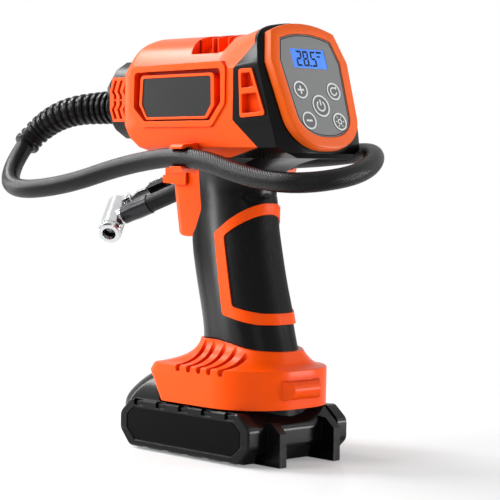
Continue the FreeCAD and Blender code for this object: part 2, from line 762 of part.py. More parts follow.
def groove_tools():
    tools = None
    for (x0, y0), (x1, y1) in groove_ends:
        length = math.hypot(x1 - x0, y1 - y0)
        ux = (x1 - x0) / length
        uy = (y1 - y0) / length
        px = -uy * flute_half
        py = ux * flute_half
        round_z = flute_foot_z + flute_half
        strip = slab_z([(x0 + px, y0 + py), (x1 + px, y1 + py), (x1 - px, y1 - py), (x0 - px, y0 - py)],
                       round_z, 62.6)
        strip = strip.fuse(rod(V(x0, y0, round_z), V(ux, uy, 0), flute_half, length))
        strip = strip.fuse(rod(V(x1, y1, round_z), V(0, 0, 1), flute_half, 62.6 - round_z))
        tools = strip if tools is None else tools.fuse(strip)
    return tools


def base():
    outer = base_solid()
    core = base_solid(flute_deep, flute_deep * 0.6)
    tools = groove_tools().cut(core)
    outer = outer.cut(both_sides(tools))

    boss = rod(V(53.7, -16, 39.3), V(0, 1, 0), 5.0, 32)
    tip = slab_z([(46, -13.9), (52.9, -13.9), (59.0, -9.4), (59.0, 9.4), (52.9, 13.9), (46, 13.9)], 30, 48)
    outer = outer.fuse(boss.common(tip))

    outer = outer.cut(slab_y([(-30, 70), (-30, 63.6), (6, 63.4), (16, 62.2), (34, 59.4), (60, 57.6),
                              (60, 70)], -60, 60))
    deep = wall + flute_deep
    inner = base_solid(deep, deep).common(box(-60, 60, -60, 60, 46.0, 56.0))
    outer = outer.cut(inner)
    outer = outer.cut(handle_loft(handle_rows, -0.1).common(box(-40, 60, -40, 40, handle_foot_z, 70)))

    bay_half = rail_half + slide_gap
    bay = box(-60, platform_rear + 1.0, -bay_half, bay_half, 20, rail_top + slide_gap)
    rail_y0 = groove_half + slide_gap
    rail = box(-21.0, platform_rear + 1.0, rail_y0, bay_half + 1, groove_low + slide_gap,
               groove_high - slide_gap)
    bay = bay.cut(both_sides(rail))
    outer = outer.cut(bay)
    hook_way = box(-60, -9.6, -7.0, 7.0, rail_top, rail_top + 2.4)
    outer = outer.cut(hook_way)
    outer = outer.cut(box(19.4, platform_rear + 5.2, -13.0, 13.0, 32.8, 47.0))
    save(outer, "base_shoe")

    block = box(platform_rear + 1.2, platform_rear + 5.0, -12.8, 12.8, 33.0, 45.8)
    block = block.fuse(box(19.6, platform_rear + 5.0, -12.8, 12.8, rail_top + slide_gap + 0.1, 45.8))
    for y in blade_spots:
        block = block.fuse(box(14.0, platform_rear + 1.6, y - 0.5, y + 0.5, 36.8, rail_top - 0.6))
    save(block, "terminal_block")


blade_spots = [-9.0, -3.0, 3.0, 9.0]


# Battery

plate_outline = [(-52.6, 9.8), (-52.6, 19.6), (-43.4, 27.8), (43.6, 27.8), (52.5, 20.6), (52.5, 9.6),
                 (44.0, 1.2), (-44.6, 1.2)]
core_outline = [(-50.8, 10.0), (-50.8, 19.4), (-42.4, 27.4), (42.8, 27.4), (52.0, 19.8), (52.0, 8.8),
                (42.4, 0.0), (-41.0, 0.0)]
notch_first_x = -40.4
notch_pitch = 18.6
notch_width = 7.6


def battery():
    plate = soft_slab_y(plate_outline, 5.0, -plate_half_w, -plate_half_w + plate_thick)
    rim = [edge for edge in plate.Edges if edge.BoundBox.YMax < -plate_half_w + 0.01]
    plate = plate.makeChamfer(0.9, rim)
    label_bed = soft_slab_y(label_bed_outline, 1.6, -plate_half_w - 1, -plate_half_w + 0.7)
    plate = plate.cut(label_bed)
    for i in range(5):
        x = notch_first_x + i * notch_pitch
        plate = plate.cut(box(x, x + notch_width, -plate_half_w - 1, -plate_half_w + 2.2, 24.2, 29.0))
        plate = plate.fuse(box(x + 0.5, x + notch_width - 1.6, -plate_half_w + 1.2, -plate_half_w + 2.4,
                               24.2, 26.6))
    for i in range(5):
        x = -31.0 + i * 16.4
        plate = plate.cut(rod(V(x, -plate_half_w - 1, -2.6), V(0, 1, 0), 5.0, 4.0))
    plates = both_sides(plate)

    core_y = plate_half_w - plate_thick
    core = soft_slab_y(core_outline, 5.0, -core_y, core_y)
    bulge = slab_z([(-44, -29.0), (-52, -28.0), (-57.4, -22.0), (-58.6, -10), (-58.6, 10), (-57.4, 22.0),
                    (-52, 28.0), (-44, 29.0)], 5.0, 30.0)
    bulge_side = slab_y([(-40, 3.0), (-52, 5.6), (-58.6, 12.0), (-58.8, 25.6), (-40, 30.0)], -40, 40)
    body = plates.fuse(core).fuse(bulge.common(bulge_side))

    wires = []
    for z, front, half, corner in hump_rows:
        wires.append(plan_wire(z, front, -6.0, half, corner, 3.0))
    hump = loft(wires).common(slab_y([(-70, 18), (-70, 60), (-32.2, 45.6), (-22.0, 28.0), (-22.0, 18)], -40, 40))
    body = body.fuse(hump)

    platform = box(-34.0, platform_rear, -rail_half, rail_half, 26.0, rail_top)
    slope = slab_y([(-60, 0), (-22.8, 0), (-22.8, 29.6), (-31.6, 45.2), (-60, 60)], -60, 60)
    platform = platform.cut(slope)
    for sign in (1, -1):
        gutter = box(-23.4, 60, groove_half, rail_half + 1, groove_low, groove_high)
        platform = platform.cut(gutter if sign > 0 else mirrored(gutter))
    for y in blade_spots:
        platform = platform.cut(box(13.0, 60, y - 1.0, y + 1.0, 36.0, rail_top + 1))
    platform = platform.cut(box(-8.0, 6.0, -7.0, 7.0, 34.0, rail_top + 1))
    body = body.fuse(platform)
    disc = rod(V(10.4, 0, 22.0), V(0, 0, 1), 36.0, 6.7)
    body = body.fuse(disc.common(box(-20, 60, -core_y, core_y, 20, 30)))

    for y in (-20.2, 20.2):
        rib = slab_y([(36.0, 0.0), (61.0, 0.0), (61.0, 17.8), (54.6, 23.0), (46.0, 23.0), (44.0, 10.0)],
                     y - 2.5, y + 2.5)
        body = body.fuse(rib)

    cavity = None
    for i in range(5):
        bay = rod(V(cell_x0 + i * cell_pitch, -cell_length / 2 - 0.6, cell_z), V(0, 1, 0), cell_r + 0.35,
                  cell_length + 1.2)
        cavity = bay if cavity is None else cavity.fuse(bay)
    cavity = cavity.fuse(box(cell_x0, cell_x0 + 4 * cell_pitch, -cell_length / 2 - 0.6,
                             cell_length / 2 + 0.6, 8.0, 19.6))
    cavity = cavity.fuse(box(7.0, 28.0, -18.0, 18.0, 22.0, 32.2))
    body = body.cut(cavity)

    way = button_way()
    body = body.cut(way)
    hook_hole = box(-19.6, -12.4, -6.4, 6.4, 29.6, rail_top + 5)
    body = body.cut(hook_hole)
    body = body.cut(rod(V(-62, 0, 11.0), V(1, 0, 0), 4.2, 8.0))

    lower = body.common(box(-80, 80, -60, 60, -5, case_split_z))
    upper = body.common(box(-80, 80, -60, 60, case_split_z, 80))
    save(lower, "battery_lower")
    save(upper, "battery_upper")

    cells = []
    for i in range(5):
        x = cell_x0 + i * cell_pitch
        cell = rod(V(x, -cell_length / 2, cell_z), V(0, 1, 0), cell_r, cell_length - 1.2)
        cap = rod(V(x, cell_length / 2 - 1.2, cell_z), V(0, 1, 0), 2.8, 1.2)
        cells.append(cell.fuse(cap))
    save(Part.makeCompound(cells), "battery_cells")
    board = box(8.0, 27.0, -17.0, 17.0, 25.0, 26.6)
    for y in blade_spots:
        board = board.fuse(box(10.0, 12.6, y - 1.6, y + 1.6, 26.6, 31.6))
    save(board, "battery_board")

    label = [(x * 0.982, 14.0 + (z - 14.0) * 0.93) for x, z in label_bed_outline]
    label = soft_slab_y(label, 1.4, -plate_half_w + 0.3, -plate_half_w + 0.7)
    save(pair(label), "battery_labels")

    button = button_way(0.3).common(hump_skin())
    stem = rod(button_base, button_dir, 2.4, 6.0)
    save(button.fuse(stem.common(button_way(0.3))), "release_button")
    hook = box(-19.0, -13.0, -5.8, 5.8, 38.6, 41.4)
    for y in (-5.8, 3.4):
        hook = hook.fuse(slab_y([(-19.0, 40.6), (-13.0, 40.6), (-13.0, 45.4), (-14.2, 45.4), (-19.0, 43.0)],
                                y, y + 2.4))
    save(hook, "latch_hook")
    spring = coil(V(-16.0, 0, 30.0), V(0, 0, 1), 2.6, 0.35, 8.2, 5)
    save(spring, "latch_spring")
    jack = tube(V(-59.2, 0, 11.0), V(1, 0, 0), 4.0, 2.8, 4.6).fuse(
        rod(V(-54.8, 0, 11.0), V(1, 0, 0), 4.0, 0.6)).fuse(rod(V(-58.0, 0, 11.0), V(1, 0, 0), 1.0, 3.6))
    save(jack, "charge_socket")


label_bed_outline = [(-46.6, 11.2), (-46.6, 18.6), (-40.6, 23.4), (40.4, 23.4), (46.4, 18.6), (46.4, 10.6),
                     (39.6, 4.6), (-39.8, 4.6)]
hump_rows = [(18.0, -59.6, 34.6, 14.0), (22.0, -60.0, 34.8, 14.0), (25.0, -59.7, 34.8, 14.2),
             (28.5, -58.3, 34.4, 14.6), (33.0, -54.8, 33.2, 15.2), (37.5, -50.0, 31.4, 15.6),
             (41.4, -44.6, 28.8, 15.4), (43.8, -39.8, 26.0, 14.2), (45.4, -35.4, 22.8, 12.6)]
cell_r = 9.15
cell_length = 65.0
cell_pitch = 18.7
cell_x0 = -35.8
cell_z = 13.8
button_dir = V(0.70, 0, -0.714)
button_base = V(-52.6, 0, 33.6)


def button_way(shrink=0.0):
    """Guide of the release button, sunk into the hump along its own direction."""
    side = V(0, 1, 0)
    across = button_dir.cross(side)
    start = button_base - button_dir * 8.0
    wide = 12.6 - shrink
    high = 7.0 - shrink
    cut = 3.0
    outline = [(-wide, -high + cut), (-wide, high - cut), (-wide + cut, high), (wide - cut, high),
               (wide, high - cut), (wide, -high + cut), (wide - cut, -high), (-wide + cut, -high)]
    corners = [start + side * a + across * b for a, b in outline]
    depth = 15.0 if shrink == 0 else 11.4
    return polygon(corners).extrude(button_dir * depth)


def hump_skin():
    """Block that ends the button 0.8 mm proud of the hump."""
    return slab_y([(-66.0, 5.0), (-61.0, 22.0), (-60.6, 25.4), (-59.1, 29.0), (-55.6, 33.6), (-50.7, 38.2),
                   (-45.2, 42.2), (-40.2, 44.7), (-35.4, 46.4), (-30, 46.4), (-30, 5.0)], -40, 40)


def coil(start, direction, radius, wire_r, length, turns):
    """Compression spring with flat spaced turns."""
    helix = Part.makeHelix(length / turns, length, radius)
    circle = Part.Wire(Part.makeCircle(wire_r, V(radius, 0, 0), V(0, 1, 0.2)))
    body = Part.Wire(helix).makePipeShell([circle], True, True)
    spin = FreeCAD.Rotation(V(0, 0, 1), direction)
    body.Placement = FreeCAD.Placement(start, spin)
    return body


# Trigger

trigger_travel = 5.0
trigger_rows = [(117.0, -41.3), (122.4, -42.1), (132.0, -43.8), (140.0, -45.2), (147.0, -46.2), (158.6, -46.9)]
trigger_end = [(-50.0, 158.6), (-50.0, 123.4), (-41.6, 123.2), (-40.3, 121.6), (-38.6, 120.2), (-36.4, 119.0),
               (-34.0, 118.3), (-31.4, 118.0), (-24.4, 118.3), (-22.4, 121.6), (-14.2, 121.6),
               (-14.2, 157.2), (-28.6, 157.2), (-28.6, 158.6)]
strip_half = 4.0
spring_z = 133.0
strip_depth = 1.4


def trigger_column(inset):
    """Finger piece before its lower end is rounded: sections with a round front."""
    wires = []
    for z, front in trigger_rows:
        wires.append(plan_wire(z, front + inset, -14.0, 8.0 - inset, 6.6 - inset, 0.4))
    return loft(wires)


def trigger():
    column = trigger_column(0.0)
    ending = slab_y(trigger_end, -10, 10)
    body = column.common(ending)
    band = box(-60, -30, -strip_half, strip_half, 122.6, 158.0)
    groove = band.cut(trigger_column(strip_depth))
    strip = trigger_column(-0.5).common(band.cut(trigger_column(strip_depth)))
    strip = strip.common(box(-60, -36.0, -strip_half + 0.05, strip_half - 0.05, 122.7, 158.0))
    body = body.cut(groove.common(box(-60, -36.0, -10, 10, 122.6, 160.0)))
    boss = rod(V(-31.0, 0, spring_z), V(1, 0, 0), 5.2, 20.0)
    body = body.cut(box(-34, -16.6, -5.6, 5.6, 124.5, 154.5).cut(box(-40, -10, -6, 6, 141, 144)).cut(boss))
    body = body.cut(rod(V(-22.0, 0, spring_z), V(1, 0, 0), 3.6, 12.0))
    save(body, "trigger")
    save(strip, "trigger_strip")
    save(coil(V(-21.6, 0, spring_z), V(1, 0, 0), 2.7, 0.4, 14.4, 7), "trigger_spring")
    switch = box(-4.0, 12.0, -4.2, 4.2, 137.0, 150.0)
    switch = switch.fuse(box(-6.8, 12.0, -4.2, 4.2, 128.0, 137.2))
    switch = switch.fuse(rod(V(-8.9, 0, 145.0), V(1, 0, 0), 1.5, 6))
    switch = switch.fuse(box(12.0, 19.0, -1.0, 1.0, 132.0, 148.0)).fuse(box(10.0, 17.0, -10.5, 10.5, 138.0, 142.0))
    save(switch, "trigger_switch")


# Pump train

def gear_face(teeth, x, z, turn, extra_clear=0.0):
    """Involute gear outline in the YZ plane at x, centred at height z."""
    pitch = gear_module * teeth / 2
    base_radius = pitch * math.cos(math.radians(pressure_deg))
    top = pitch + gear_module * 0.92
    root = pitch - gear_module * 1.2
    half_tooth = math.pi / (2 * teeth) - backlash / (2 * pitch)
    inv_pitch = math.tan(math.radians(pressure_deg)) - math.radians(pressure_deg)
    points = []
    for i in range(teeth):
        centre = turn + 2 * math.pi * i / teeth
        flank = []
        for k in range(5):
            radius = max(base_radius, root) + (top - max(base_radius, root)) * k / 4
            angle = math.acos(min(1.0, base_radius / radius))
            inv = math.tan(angle) - angle
            flank.append((radius, half_tooth + inv_pitch - inv))
        points.append((root, centre - flank[0][1]))
        points += [(radius, centre - offset) for radius, offset in flank]
        points += [(radius, centre + offset) for radius, offset in reversed(flank)]
        points.append((root, centre + flank[0][1]))
    clean = []
    for radius, angle in points:
        p = V(x, radius * math.cos(angle), z + radius * math.sin(angle))
        if not clean or (p - clean[-1]).Length > 0.01:
            clean.append(p)
    return polygon(clean)


gear_z = motor_z + gear_module * (pinion_teeth + gear_teeth) / 2


def pump():
    can = rod(V(-45.0, 0, motor_z), V(1, 0, 0), 17.0, 25.0)
    can = can.fuse(rod(V(-20.0, 0, motor_z), V(1, 0, 0), 6.0, 1.6))
    can = can.cut(rod(V(-60.0, 0, motor_z), V(1, 0, 0), shaft_r + running_gap, 60))
    for angle in (45, 135, 225, 315):
        y = 13.0 * math.cos(math.radians(angle))
        z = motor_z + 13.0 * math.sin(math.radians(angle))
        can = can.cut(rod(V(-46.0, y, z), V(1, 0, 0), 2.2, 6.0))
    save(can, "motor")

    shaft = rod(V(-51.4, 0, motor_z), V(1, 0, 0), shaft_r, 42.4)
    hub = tube(V(-51.6, 0, motor_z), V(1, 0, 0), 4.0, shaft_r, 4.0)
    for i in range(9):
        blade = box(-51.6, -48.0, -0.5, 0.5, motor_z + 3.6, motor_z + 11.0)
        blade.rotate(V(0, 0, motor_z), V(1, 0, 0), i * 40)
        hub = hub.fuse(blade)
    save(hub, "fan")
    pinion = gear_face(pinion_teeth, -16.0, motor_z, math.pi / 2).extrude(V(6.6, 0, 0))
    save(shaft.fuse(pinion), "pinion_shaft")

    mesh_turn = -math.pi / 2 + math.pi / gear_teeth
    wheel = gear_face(gear_teeth, -15.8, gear_z, mesh_turn).extrude(V(6.0, 0, 0))
    wheel = wheel.cut(rod(V(-17, 0, gear_z), V(1, 0, 0), 3.0, 10))
    for i in range(6):
        angle = i * math.pi / 3
        wheel = wheel.cut(rod(V(-17, 8.2 * math.cos(angle), gear_z + 8.2 * math.sin(angle)), V(1, 0, 0), 2.6, 10))
    save(wheel, "gear")
    crank = rod(V(-18.4, 0, gear_z), V(1, 0, 0), 3.0, 16.8)
    web = rod(V(-1.6, 0, gear_z), V(1, 0, 0), 10.0, 3.0)
    pin = rod(V(1.4, 0, gear_z - crank_radius), V(1, 0, 0), 2.5, 3.8)
    save(crank.fuse(web).fuse(pin), "crank")

    plate = slab_x([(-19.6, 176), (-19.6, 200), (-15.0, 212.4), (15.0, 212.4), (19.6, 200), (19.6, 176),
                    (10.0, 168.8), (-10.0, 168.8)], -20.4 + 2.0, -16.6)
    plate = plate.cut(rod(V(-21, 0, motor_z), V(1, 0, 0), 7.0, 8))
    plate = plate.cut(rod(V(-21, 0, gear_z), V(1, 0, 0), 3.0 + running_gap, 8))
    arm = box(-8.8, -3.0, -6.0, 6.0, 190.2, gear_z + 6)
    arm = arm.fuse(box(-16.7, -8.8, -16.0, -12.0, 177.0, 182.0)).fuse(box(-16.7, -8.8, 12.0, 16.0, 177.0, 182.0))
    arm = arm.fuse(box(-8.8, -6.8, -16.0, 16.0, 177.0, 196.0))
    arm = arm.cut(rod(V(-12, 0, gear_z), V(1, 0, 0), 3.0 + running_gap, 12))
    plate = plate.fuse(arm)
    save(plate, "gear_bracket")

    wrist_z = gear_z - crank_radius - rod_length
    rod_plane = 5.6
    eye = tube(V(rod_plane, 0, gear_z - crank_radius), V(1, 0, 0), 5.4, 2.6, 4.4)
    small = rod(V(rod_plane, 0, wrist_z), V(1, 0, 0), 3.6, 4.4)
    beam = box(rod_plane + 0.6, rod_plane + 3.8, -2.2, 2.2, wrist_z + 3.2, gear_z - crank_radius - 4.6)
    pin_length = 2 * (bore_r - piston_gap) - 3.0
    wrist = rod(V(cylinder_x - pin_length / 2, 0, wrist_z), V(1, 0, 0), 2.0, pin_length)
    save(eye.fuse(small).fuse(beam).fuse(wrist), "connecting_rod")

    piston = rod(V(cylinder_x, 0, wrist_z - 5.6), V(0, 0, 1), bore_r - piston_gap, 10.4)
    piston = piston.cut(box(cylinder_x - 3.2, cylinder_x + 3.2, -5.6, 5.6, wrist_z - 4.0, wrist_z + 8))
    piston = piston.cut(rod(V(cylinder_x - 12, 0, wrist_z), V(1, 0, 0), 2.0 + running_gap, 24))
    save(piston, "piston")

    low = wrist_z - 6.2
    barrel = rod(V(cylinder_x, 0, low), V(0, 0, 1), 11.2, 189.0 - low)
    for i in range(6):
        barrel = barrel.fuse(rod(V(cylinder_x, 0, low + 0.4 + i * 3.6), V(0, 0, 1), 13.4, 1.4))
    barrel = barrel.fuse(box(-6.8, cylinder_x, -9.0, 9.0, 178.0, 186.0))
    barrel = barrel.cut(rod(V(cylinder_x, 0, low - 1), V(0, 0, 1), bore_r, 60))
    save(barrel, "cylinder")
    cover = rod(V(cylinder_x, 0, low - 4.6), V(0, 0, 1), 13.4, 4.6)
    cover = cover.fuse(rod(V(cylinder_x, 0, low - 7.6), V(0, 0, 1), 8.0, 3.2))
    cover = cover.fuse(rod(V(cylinder_x - 8.0, -4.0, low - 5.6), V(-1, 0, 0), 2.6, 9.0))
    save(cover, "cylinder_head")
    return low


def bend_route(points):
    """Straight runs joined by tangent arcs; prints each arc radius."""
    pts = [V(*p) for p in points]
    edges = []
    radii = []
    here = pts[0]
    for i in range(1, len(pts) - 1):
        back = (pts[i - 1] - pts[i])
        ahead = (pts[i + 1] - pts[i])
        short = min(back.Length, ahead.Length)
        back.normalize()
        ahead.normalize()
        turn = math.pi - back.getAngle(ahead)
        reach = 0.45 * short
        radius = reach / math.tan(turn / 2)
        radii.append(round(radius, 1))
        start = pts[i] + back * reach
        end = pts[i] + ahead * reach
        middle = (back + ahead)
        middle.normalize()
        centre = pts[i] + middle * math.hypot(radius, reach)
        top = centre - middle * radius
        edges.append(line_edge(here, start))
        edges.append(arc_edge(start, top, end))
        here = end
    edges.append(line_edge(here, pts[-1]))
    return Part.Wire(edges), radii


def pipe(points, outer, inner=0.0):
    wire, radii = bend_route(points)
    start = wire.OrderedEdges[0]
    origin = V(*points[0])
    direction = V(*points[1]) - origin
    ring = Part.Wire(Part.makeCircle(outer, origin, direction))
    body = wire.makePipeShell([ring], True, False)
    if inner > 0:
        hole = Part.Wire(Part.makeCircle(inner, origin, direction))
        body = body.cut(wire.makePipeShell([hole], True, False))
    area = math.pi * (outer ** 2 - inner ** 2)
    share = body.Volume / (area * wire.Length)
    return body, wire, radii, share


def along(wire, distance):
    """Point and tangent at a distance along the route."""
    for edge in wire.OrderedEdges:
        if distance <= edge.Length:
            t = edge.getParameterByLength(distance)
            if edge.Orientation == "Reversed":
                t = edge.getParameterByLength(edge.Length - distance)
            point = edge.valueAt(t)
            heading = edge.tangentAt(t)
            return point, heading
        distance -= edge.Length
    last = wire.OrderedEdges[-1]
    return last.valueAt(last.LastParameter), last.tangentAt(last.LastParameter)


def ring_at(wire, distance, radius):
    """Circle across the route, with its seam always on the upper side."""
    point, heading = along(wire, distance)
    ring = Part.Wire(Part.makeCircle(radius))
    turn = FreeCAD.Rotation(V(0, 0, 1).cross(heading), V(0, 0, 1), heading, "ZYX")
    ring.Placement = FreeCAD.Placement(point, turn)
    return ring


def hose_and_boot():
    body, wire, radii, share = pipe(hose_route, hose_d / 2, hose_bore_d / 2)
    save(body, "hose")
    print("hose length %.1f radii %s volume share %.4f" % (wire.Length, radii, share))

    start = nose_tip_x + 3.0 - hose_route[0][0]
    start = abs(start)
    stations = []
    root_run = 3.4
    stations.append((start, boot_root_r))
    stations.append((start + root_run, boot_root_r))
    at = start + root_run
    for i in range(boot_ribs):
        share_along = (i + 0.5) / boot_ribs
        crest = boot_root_r + (boot_end_r - boot_root_r) * share_along
        deep = rib_depth - 0.35 * share_along
        stations.append((at + 0.05 * rib_pitch, crest - deep))
        stations.append((at + 0.36 * rib_pitch, crest - deep))
        stations.append((at + 0.50 * rib_pitch, crest))
        stations.append((at + 0.95 * rib_pitch, crest))
        at += rib_pitch
    stations.append((at + 0.3, boot_end_r - 0.8))
    stations.append((at + 1.2, boot_end_r - 0.8))
    stations.append((at + 1.3, collar_r - 0.3))
    stations.append((at + 1.7, collar_r))
    stations.append((at + collar_length, collar_r))
    stations.append((at + collar_length + 0.6, collar_r - 0.6))
    outer = []
    inner = []
    for distance, radius in stations:
        outer.append(ring_at(wire, distance, radius))
        inner.append(ring_at(wire, distance, hose_d / 2 + boot_bore_gap))
    skins = Part.makeLoft(outer, False, True).Faces + Part.makeLoft(inner, False, True).Faces
    for end in (0, -1):
        skins.append(Part.Face([outer[end], inner[end]]))
    boot = Part.Solid(Part.Shell(skins))
    boot.fix(0.001, 0.001, 0.001)
    save(boot, "hose_boot")
    print("boot from %.1f to %.1f" % (start, stations[-1][0]))

    barb_x = hose_route[0][0]
    barb = rod(V(barb_x - 6.0, 0, hose_axis_z), V(1, 0, 0), hose_bore_d / 2 - 0.02, 6.0)
    barb = barb.fuse(rod(V(barb_x, 0, hose_axis_z), V(1, 0, 0), 5.2, 3.0))
    barb = barb.fuse(rod(V(barb_x + 3.0, 0, hose_axis_z), V(1, 0, 0), 3.0, 15.0))
    barb = barb.cut(rod(V(barb_x - 7.0, 0, hose_axis_z), V(1, 0, 0), 1.4, 40.0))
    save(barb, "hose_barb")


chuck_s = V(*hose_route[-2]) - V(*hose_route[-1])
chuck_s.normalize()
chuck_h = V(0.5275, -0.668, -0.524)
chuck_h = chuck_h - chuck_s * chuck_h.dot(chuck_s)
chuck_h.normalize()
hose_end = V(*hose_route[-1])
stem_length = 21.0
head_offset = 5.2
stem_start = head_offset + 2.4
chuck_r = 7.2
chuck_low = -15.7
chuck_high = 19.4
valve_r = 4.05
lever_z = 14.6
lever_pivot_x = 8.6


def chuck_place(shape):
    """Move a shape from the chuck's own axes to its place on the hose."""
    origin = hose_end - chuck_s * (stem_length + head_offset)
    up = chuck_h * -1.0
    side = up.cross(chuck_s)
    matrix = FreeCAD.Matrix(chuck_s.x, side.x, up.x, origin.x, chuck_s.y, side.y, up.y, origin.y,
                            chuck_s.z, side.z, up.z, origin.z, 0, 0, 0, 1)
    moved = shape.copy()
    moved.transformShape(matrix)
    return moved


def turned(profile):
    """Solid of revolution about the local Z axis from (radius, z) points."""
    face = polygon([V(r, 0, z) for r, z in profile])
    return face.revolve(V(0, 0, 0), V(0, 0, 1), 360)


def chuck():
    up = V(0, 0, 1)
    head = turned([(0, chuck_low), (chuck_r - 0.9, chuck_low), (chuck_r, chuck_low + 0.9),
                   (chuck_r, chuck_low + 3.2), (chuck_r - 0.7, chuck_low + 3.6),
                   (chuck_r - 0.7, chuck_low + 4.6), (chuck_r - 0.1, chuck_low + 5.0),
                   (chuck_r - 0.1, chuck_high - 3.0), (chuck_r - 1.6, chuck_high - 0.8),
                   (chuck_r - 3.6, chuck_high), (0, chuck_high)])
    head = head.fuse(rod(V(0, 0, 0), V(1, 0, 0), 5.4, stem_start))
    for y in (-4.4, 2.8):
        ear = box(3.0, lever_pivot_x, y, y + 1.6, lever_z - 3.0, lever_z + 3.0)
        ear = ear.fuse(rod(V(lever_pivot_x, y, lever_z), V(0, 1, 0), 3.0, 1.6))
        head = head.fuse(ear)
    head = head.cut(rod(V(0, 0, chuck_low - 1), up, valve_r, 12.0))
    head = head.cut(rod(V(0, 0, chuck_low + 3.0), up, 5.2, 5.0))
    head = head.cut(rod(V(0, 0, chuck_low + 8.0), up, 2.2, 12.0))
    head = head.cut(rod(V(lever_pivot_x, -10, lever_z), V(0, 1, 0), 1.2, 20))
    head = head.cut(box(2.4, 20.0, -2.75, 2.75, lever_z - 4.6, lever_z + 4.6))
    head = head.cut(box(-20.0, -chuck_r + 1.6, -0.8, 0.8, 9.0, 15.0))
    head = head.cut(rod(V(0, 0, 0), V(1, 0, 0), 1.8, 30.0))
    save(chuck_place(head), "chuck_head")

    seal = tube(V(0, 0, chuck_low + 3.1), up, 5.1, valve_r + 0.1, 4.8)
    save(chuck_place(seal), "chuck_seal")

    stem = rod(V(stem_start, 0, 0), V(1, 0, 0), 4.6, head_offset + stem_length - stem_start)
    stem = stem.fuse(rod(V(stem_start, 0, 0), V(1, 0, 0), 5.5, 5.0))
    stem = stem.fuse(rod(V(head_offset + stem_length - 9.0, 0, 0), V(1, 0, 0), 5.9, 9.0))
    stem = stem.fuse(Part.makeCone(5.5, 5.9, stem_length - 15.6, V(head_offset + 6.6, 0, 0), V(1, 0, 0)))
    stem = stem.fuse(rod(V(head_offset + stem_length, 0, 0), V(1, 0, 0), hose_bore_d / 2 - 0.02, 7.0))
    stem = stem.cut(rod(V(0, 0, 0), V(1, 0, 0), 1.5, 60.0))
    save(chuck_place(stem), "chuck_stem")

    save(chuck_place(rod(V(lever_pivot_x, -4.9, lever_z), V(0, 1, 0), 1.15, 9.8)), "lever_pin")
    bar = slab_y([(lever_pivot_x - 1.8, lever_z + 1.8), (lever_pivot_x + 3.0, lever_z + 2.2),
                  (lever_pivot_x + 11.0, lever_z + 0.8), (lever_pivot_x + 15.0, lever_z + 0.8),
                  (lever_pivot_x + 15.0, lever_z - 0.8), (lever_pivot_x + 10.0, lever_z - 0.8),
                  (lever_pivot_x + 3.0, lever_z - 1.2), (lever_pivot_x - 1.8, lever_z - 1.8)], -2.5, 2.5)
    bar = bar.fuse(rod(V(lever_pivot_x, -2.5, lever_z), V(0, 1, 0), 2.4, 5.0))
    wide = slab_z([(lever_pivot_x + 3.4, -2.5), (lever_pivot_x + 7.5, -4.2), (lever_pivot_x + 14.5, -4.2),
                   (lever_pivot_x + 14.5, 4.2), (lever_pivot_x + 7.5, 4.2), (lever_pivot_x + 3.4, 2.5)],
                  lever_z - 2, lever_z + 3)
    blade = slab_y([(lever_pivot_x + 3.0, lever_z + 2.2), (lever_pivot_x + 11.0, lever_z + 0.8),
                    (lever_pivot_x + 15.0, lever_z + 0.8), (lever_pivot_x + 15.0, lever_z - 0.8),
                    (lever_pivot_x + 10.0, lever_z - 0.8), (lever_pivot_x + 3.0, lever_z - 1.2)], -6, 6)
    bar = bar.fuse(wide.common(blade))
    cap = slab_y([(lever_pivot_x + 14.6, lever_z - 0.8), (lever_pivot_x + 14.6, lever_z + 0.8),
                  (lever_pivot_x + 16.2, lever_z + 3.2), (lever_pivot_x + 17.0, lever_z + 3.8),
                  (lever_pivot_x + 28.2, lever_z + 3.8), (lever_pivot_x + 29.6, lever_z + 2.8),
                  (lever_pivot_x + 31.4, lever_z - 0.6), (lever_pivot_x + 30.4, lever_z - 1.2),
                  (lever_pivot_x + 28.4, lever_z + 2.4), (lever_pivot_x + 27.8, lever_z + 2.8),
                  (lever_pivot_x + 17.6, lever_z + 2.8), (lever_pivot_x + 17.0, lever_z + 2.4),
                  (lever_pivot_x + 15.6, lever_z - 0.8)], -4.9, 4.9)
    bar = bar.fuse(cap)
    bar = bar.cut(rod(V(lever_pivot_x, -10, lever_z), V(0, 1, 0), 1.15 + running_gap, 20))
    save(chuck_place(bar), "chuck_lever")
    pad = slab_y([(lever_pivot_x + 15.8, lever_z - 2.6), (lever_pivot_x + 15.8, lever_z - 0.4),
                  (lever_pivot_x + 17.0, lever_z + 2.4), (lever_pivot_x + 17.6, lever_z + 2.8),
                  (lever_pivot_x + 27.8, lever_z + 2.8), (lever_pivot_x + 28.4, lever_z + 2.4),
                  (lever_pivot_x + 28.8, lever_z - 2.4), (lever_pivot_x + 28.0, lever_z - 3.0),
                  (lever_pivot_x + 16.4, lever_z - 3.0)], -4.7, 4.7)
    save(chuck_place(pad), "thumb_pad")


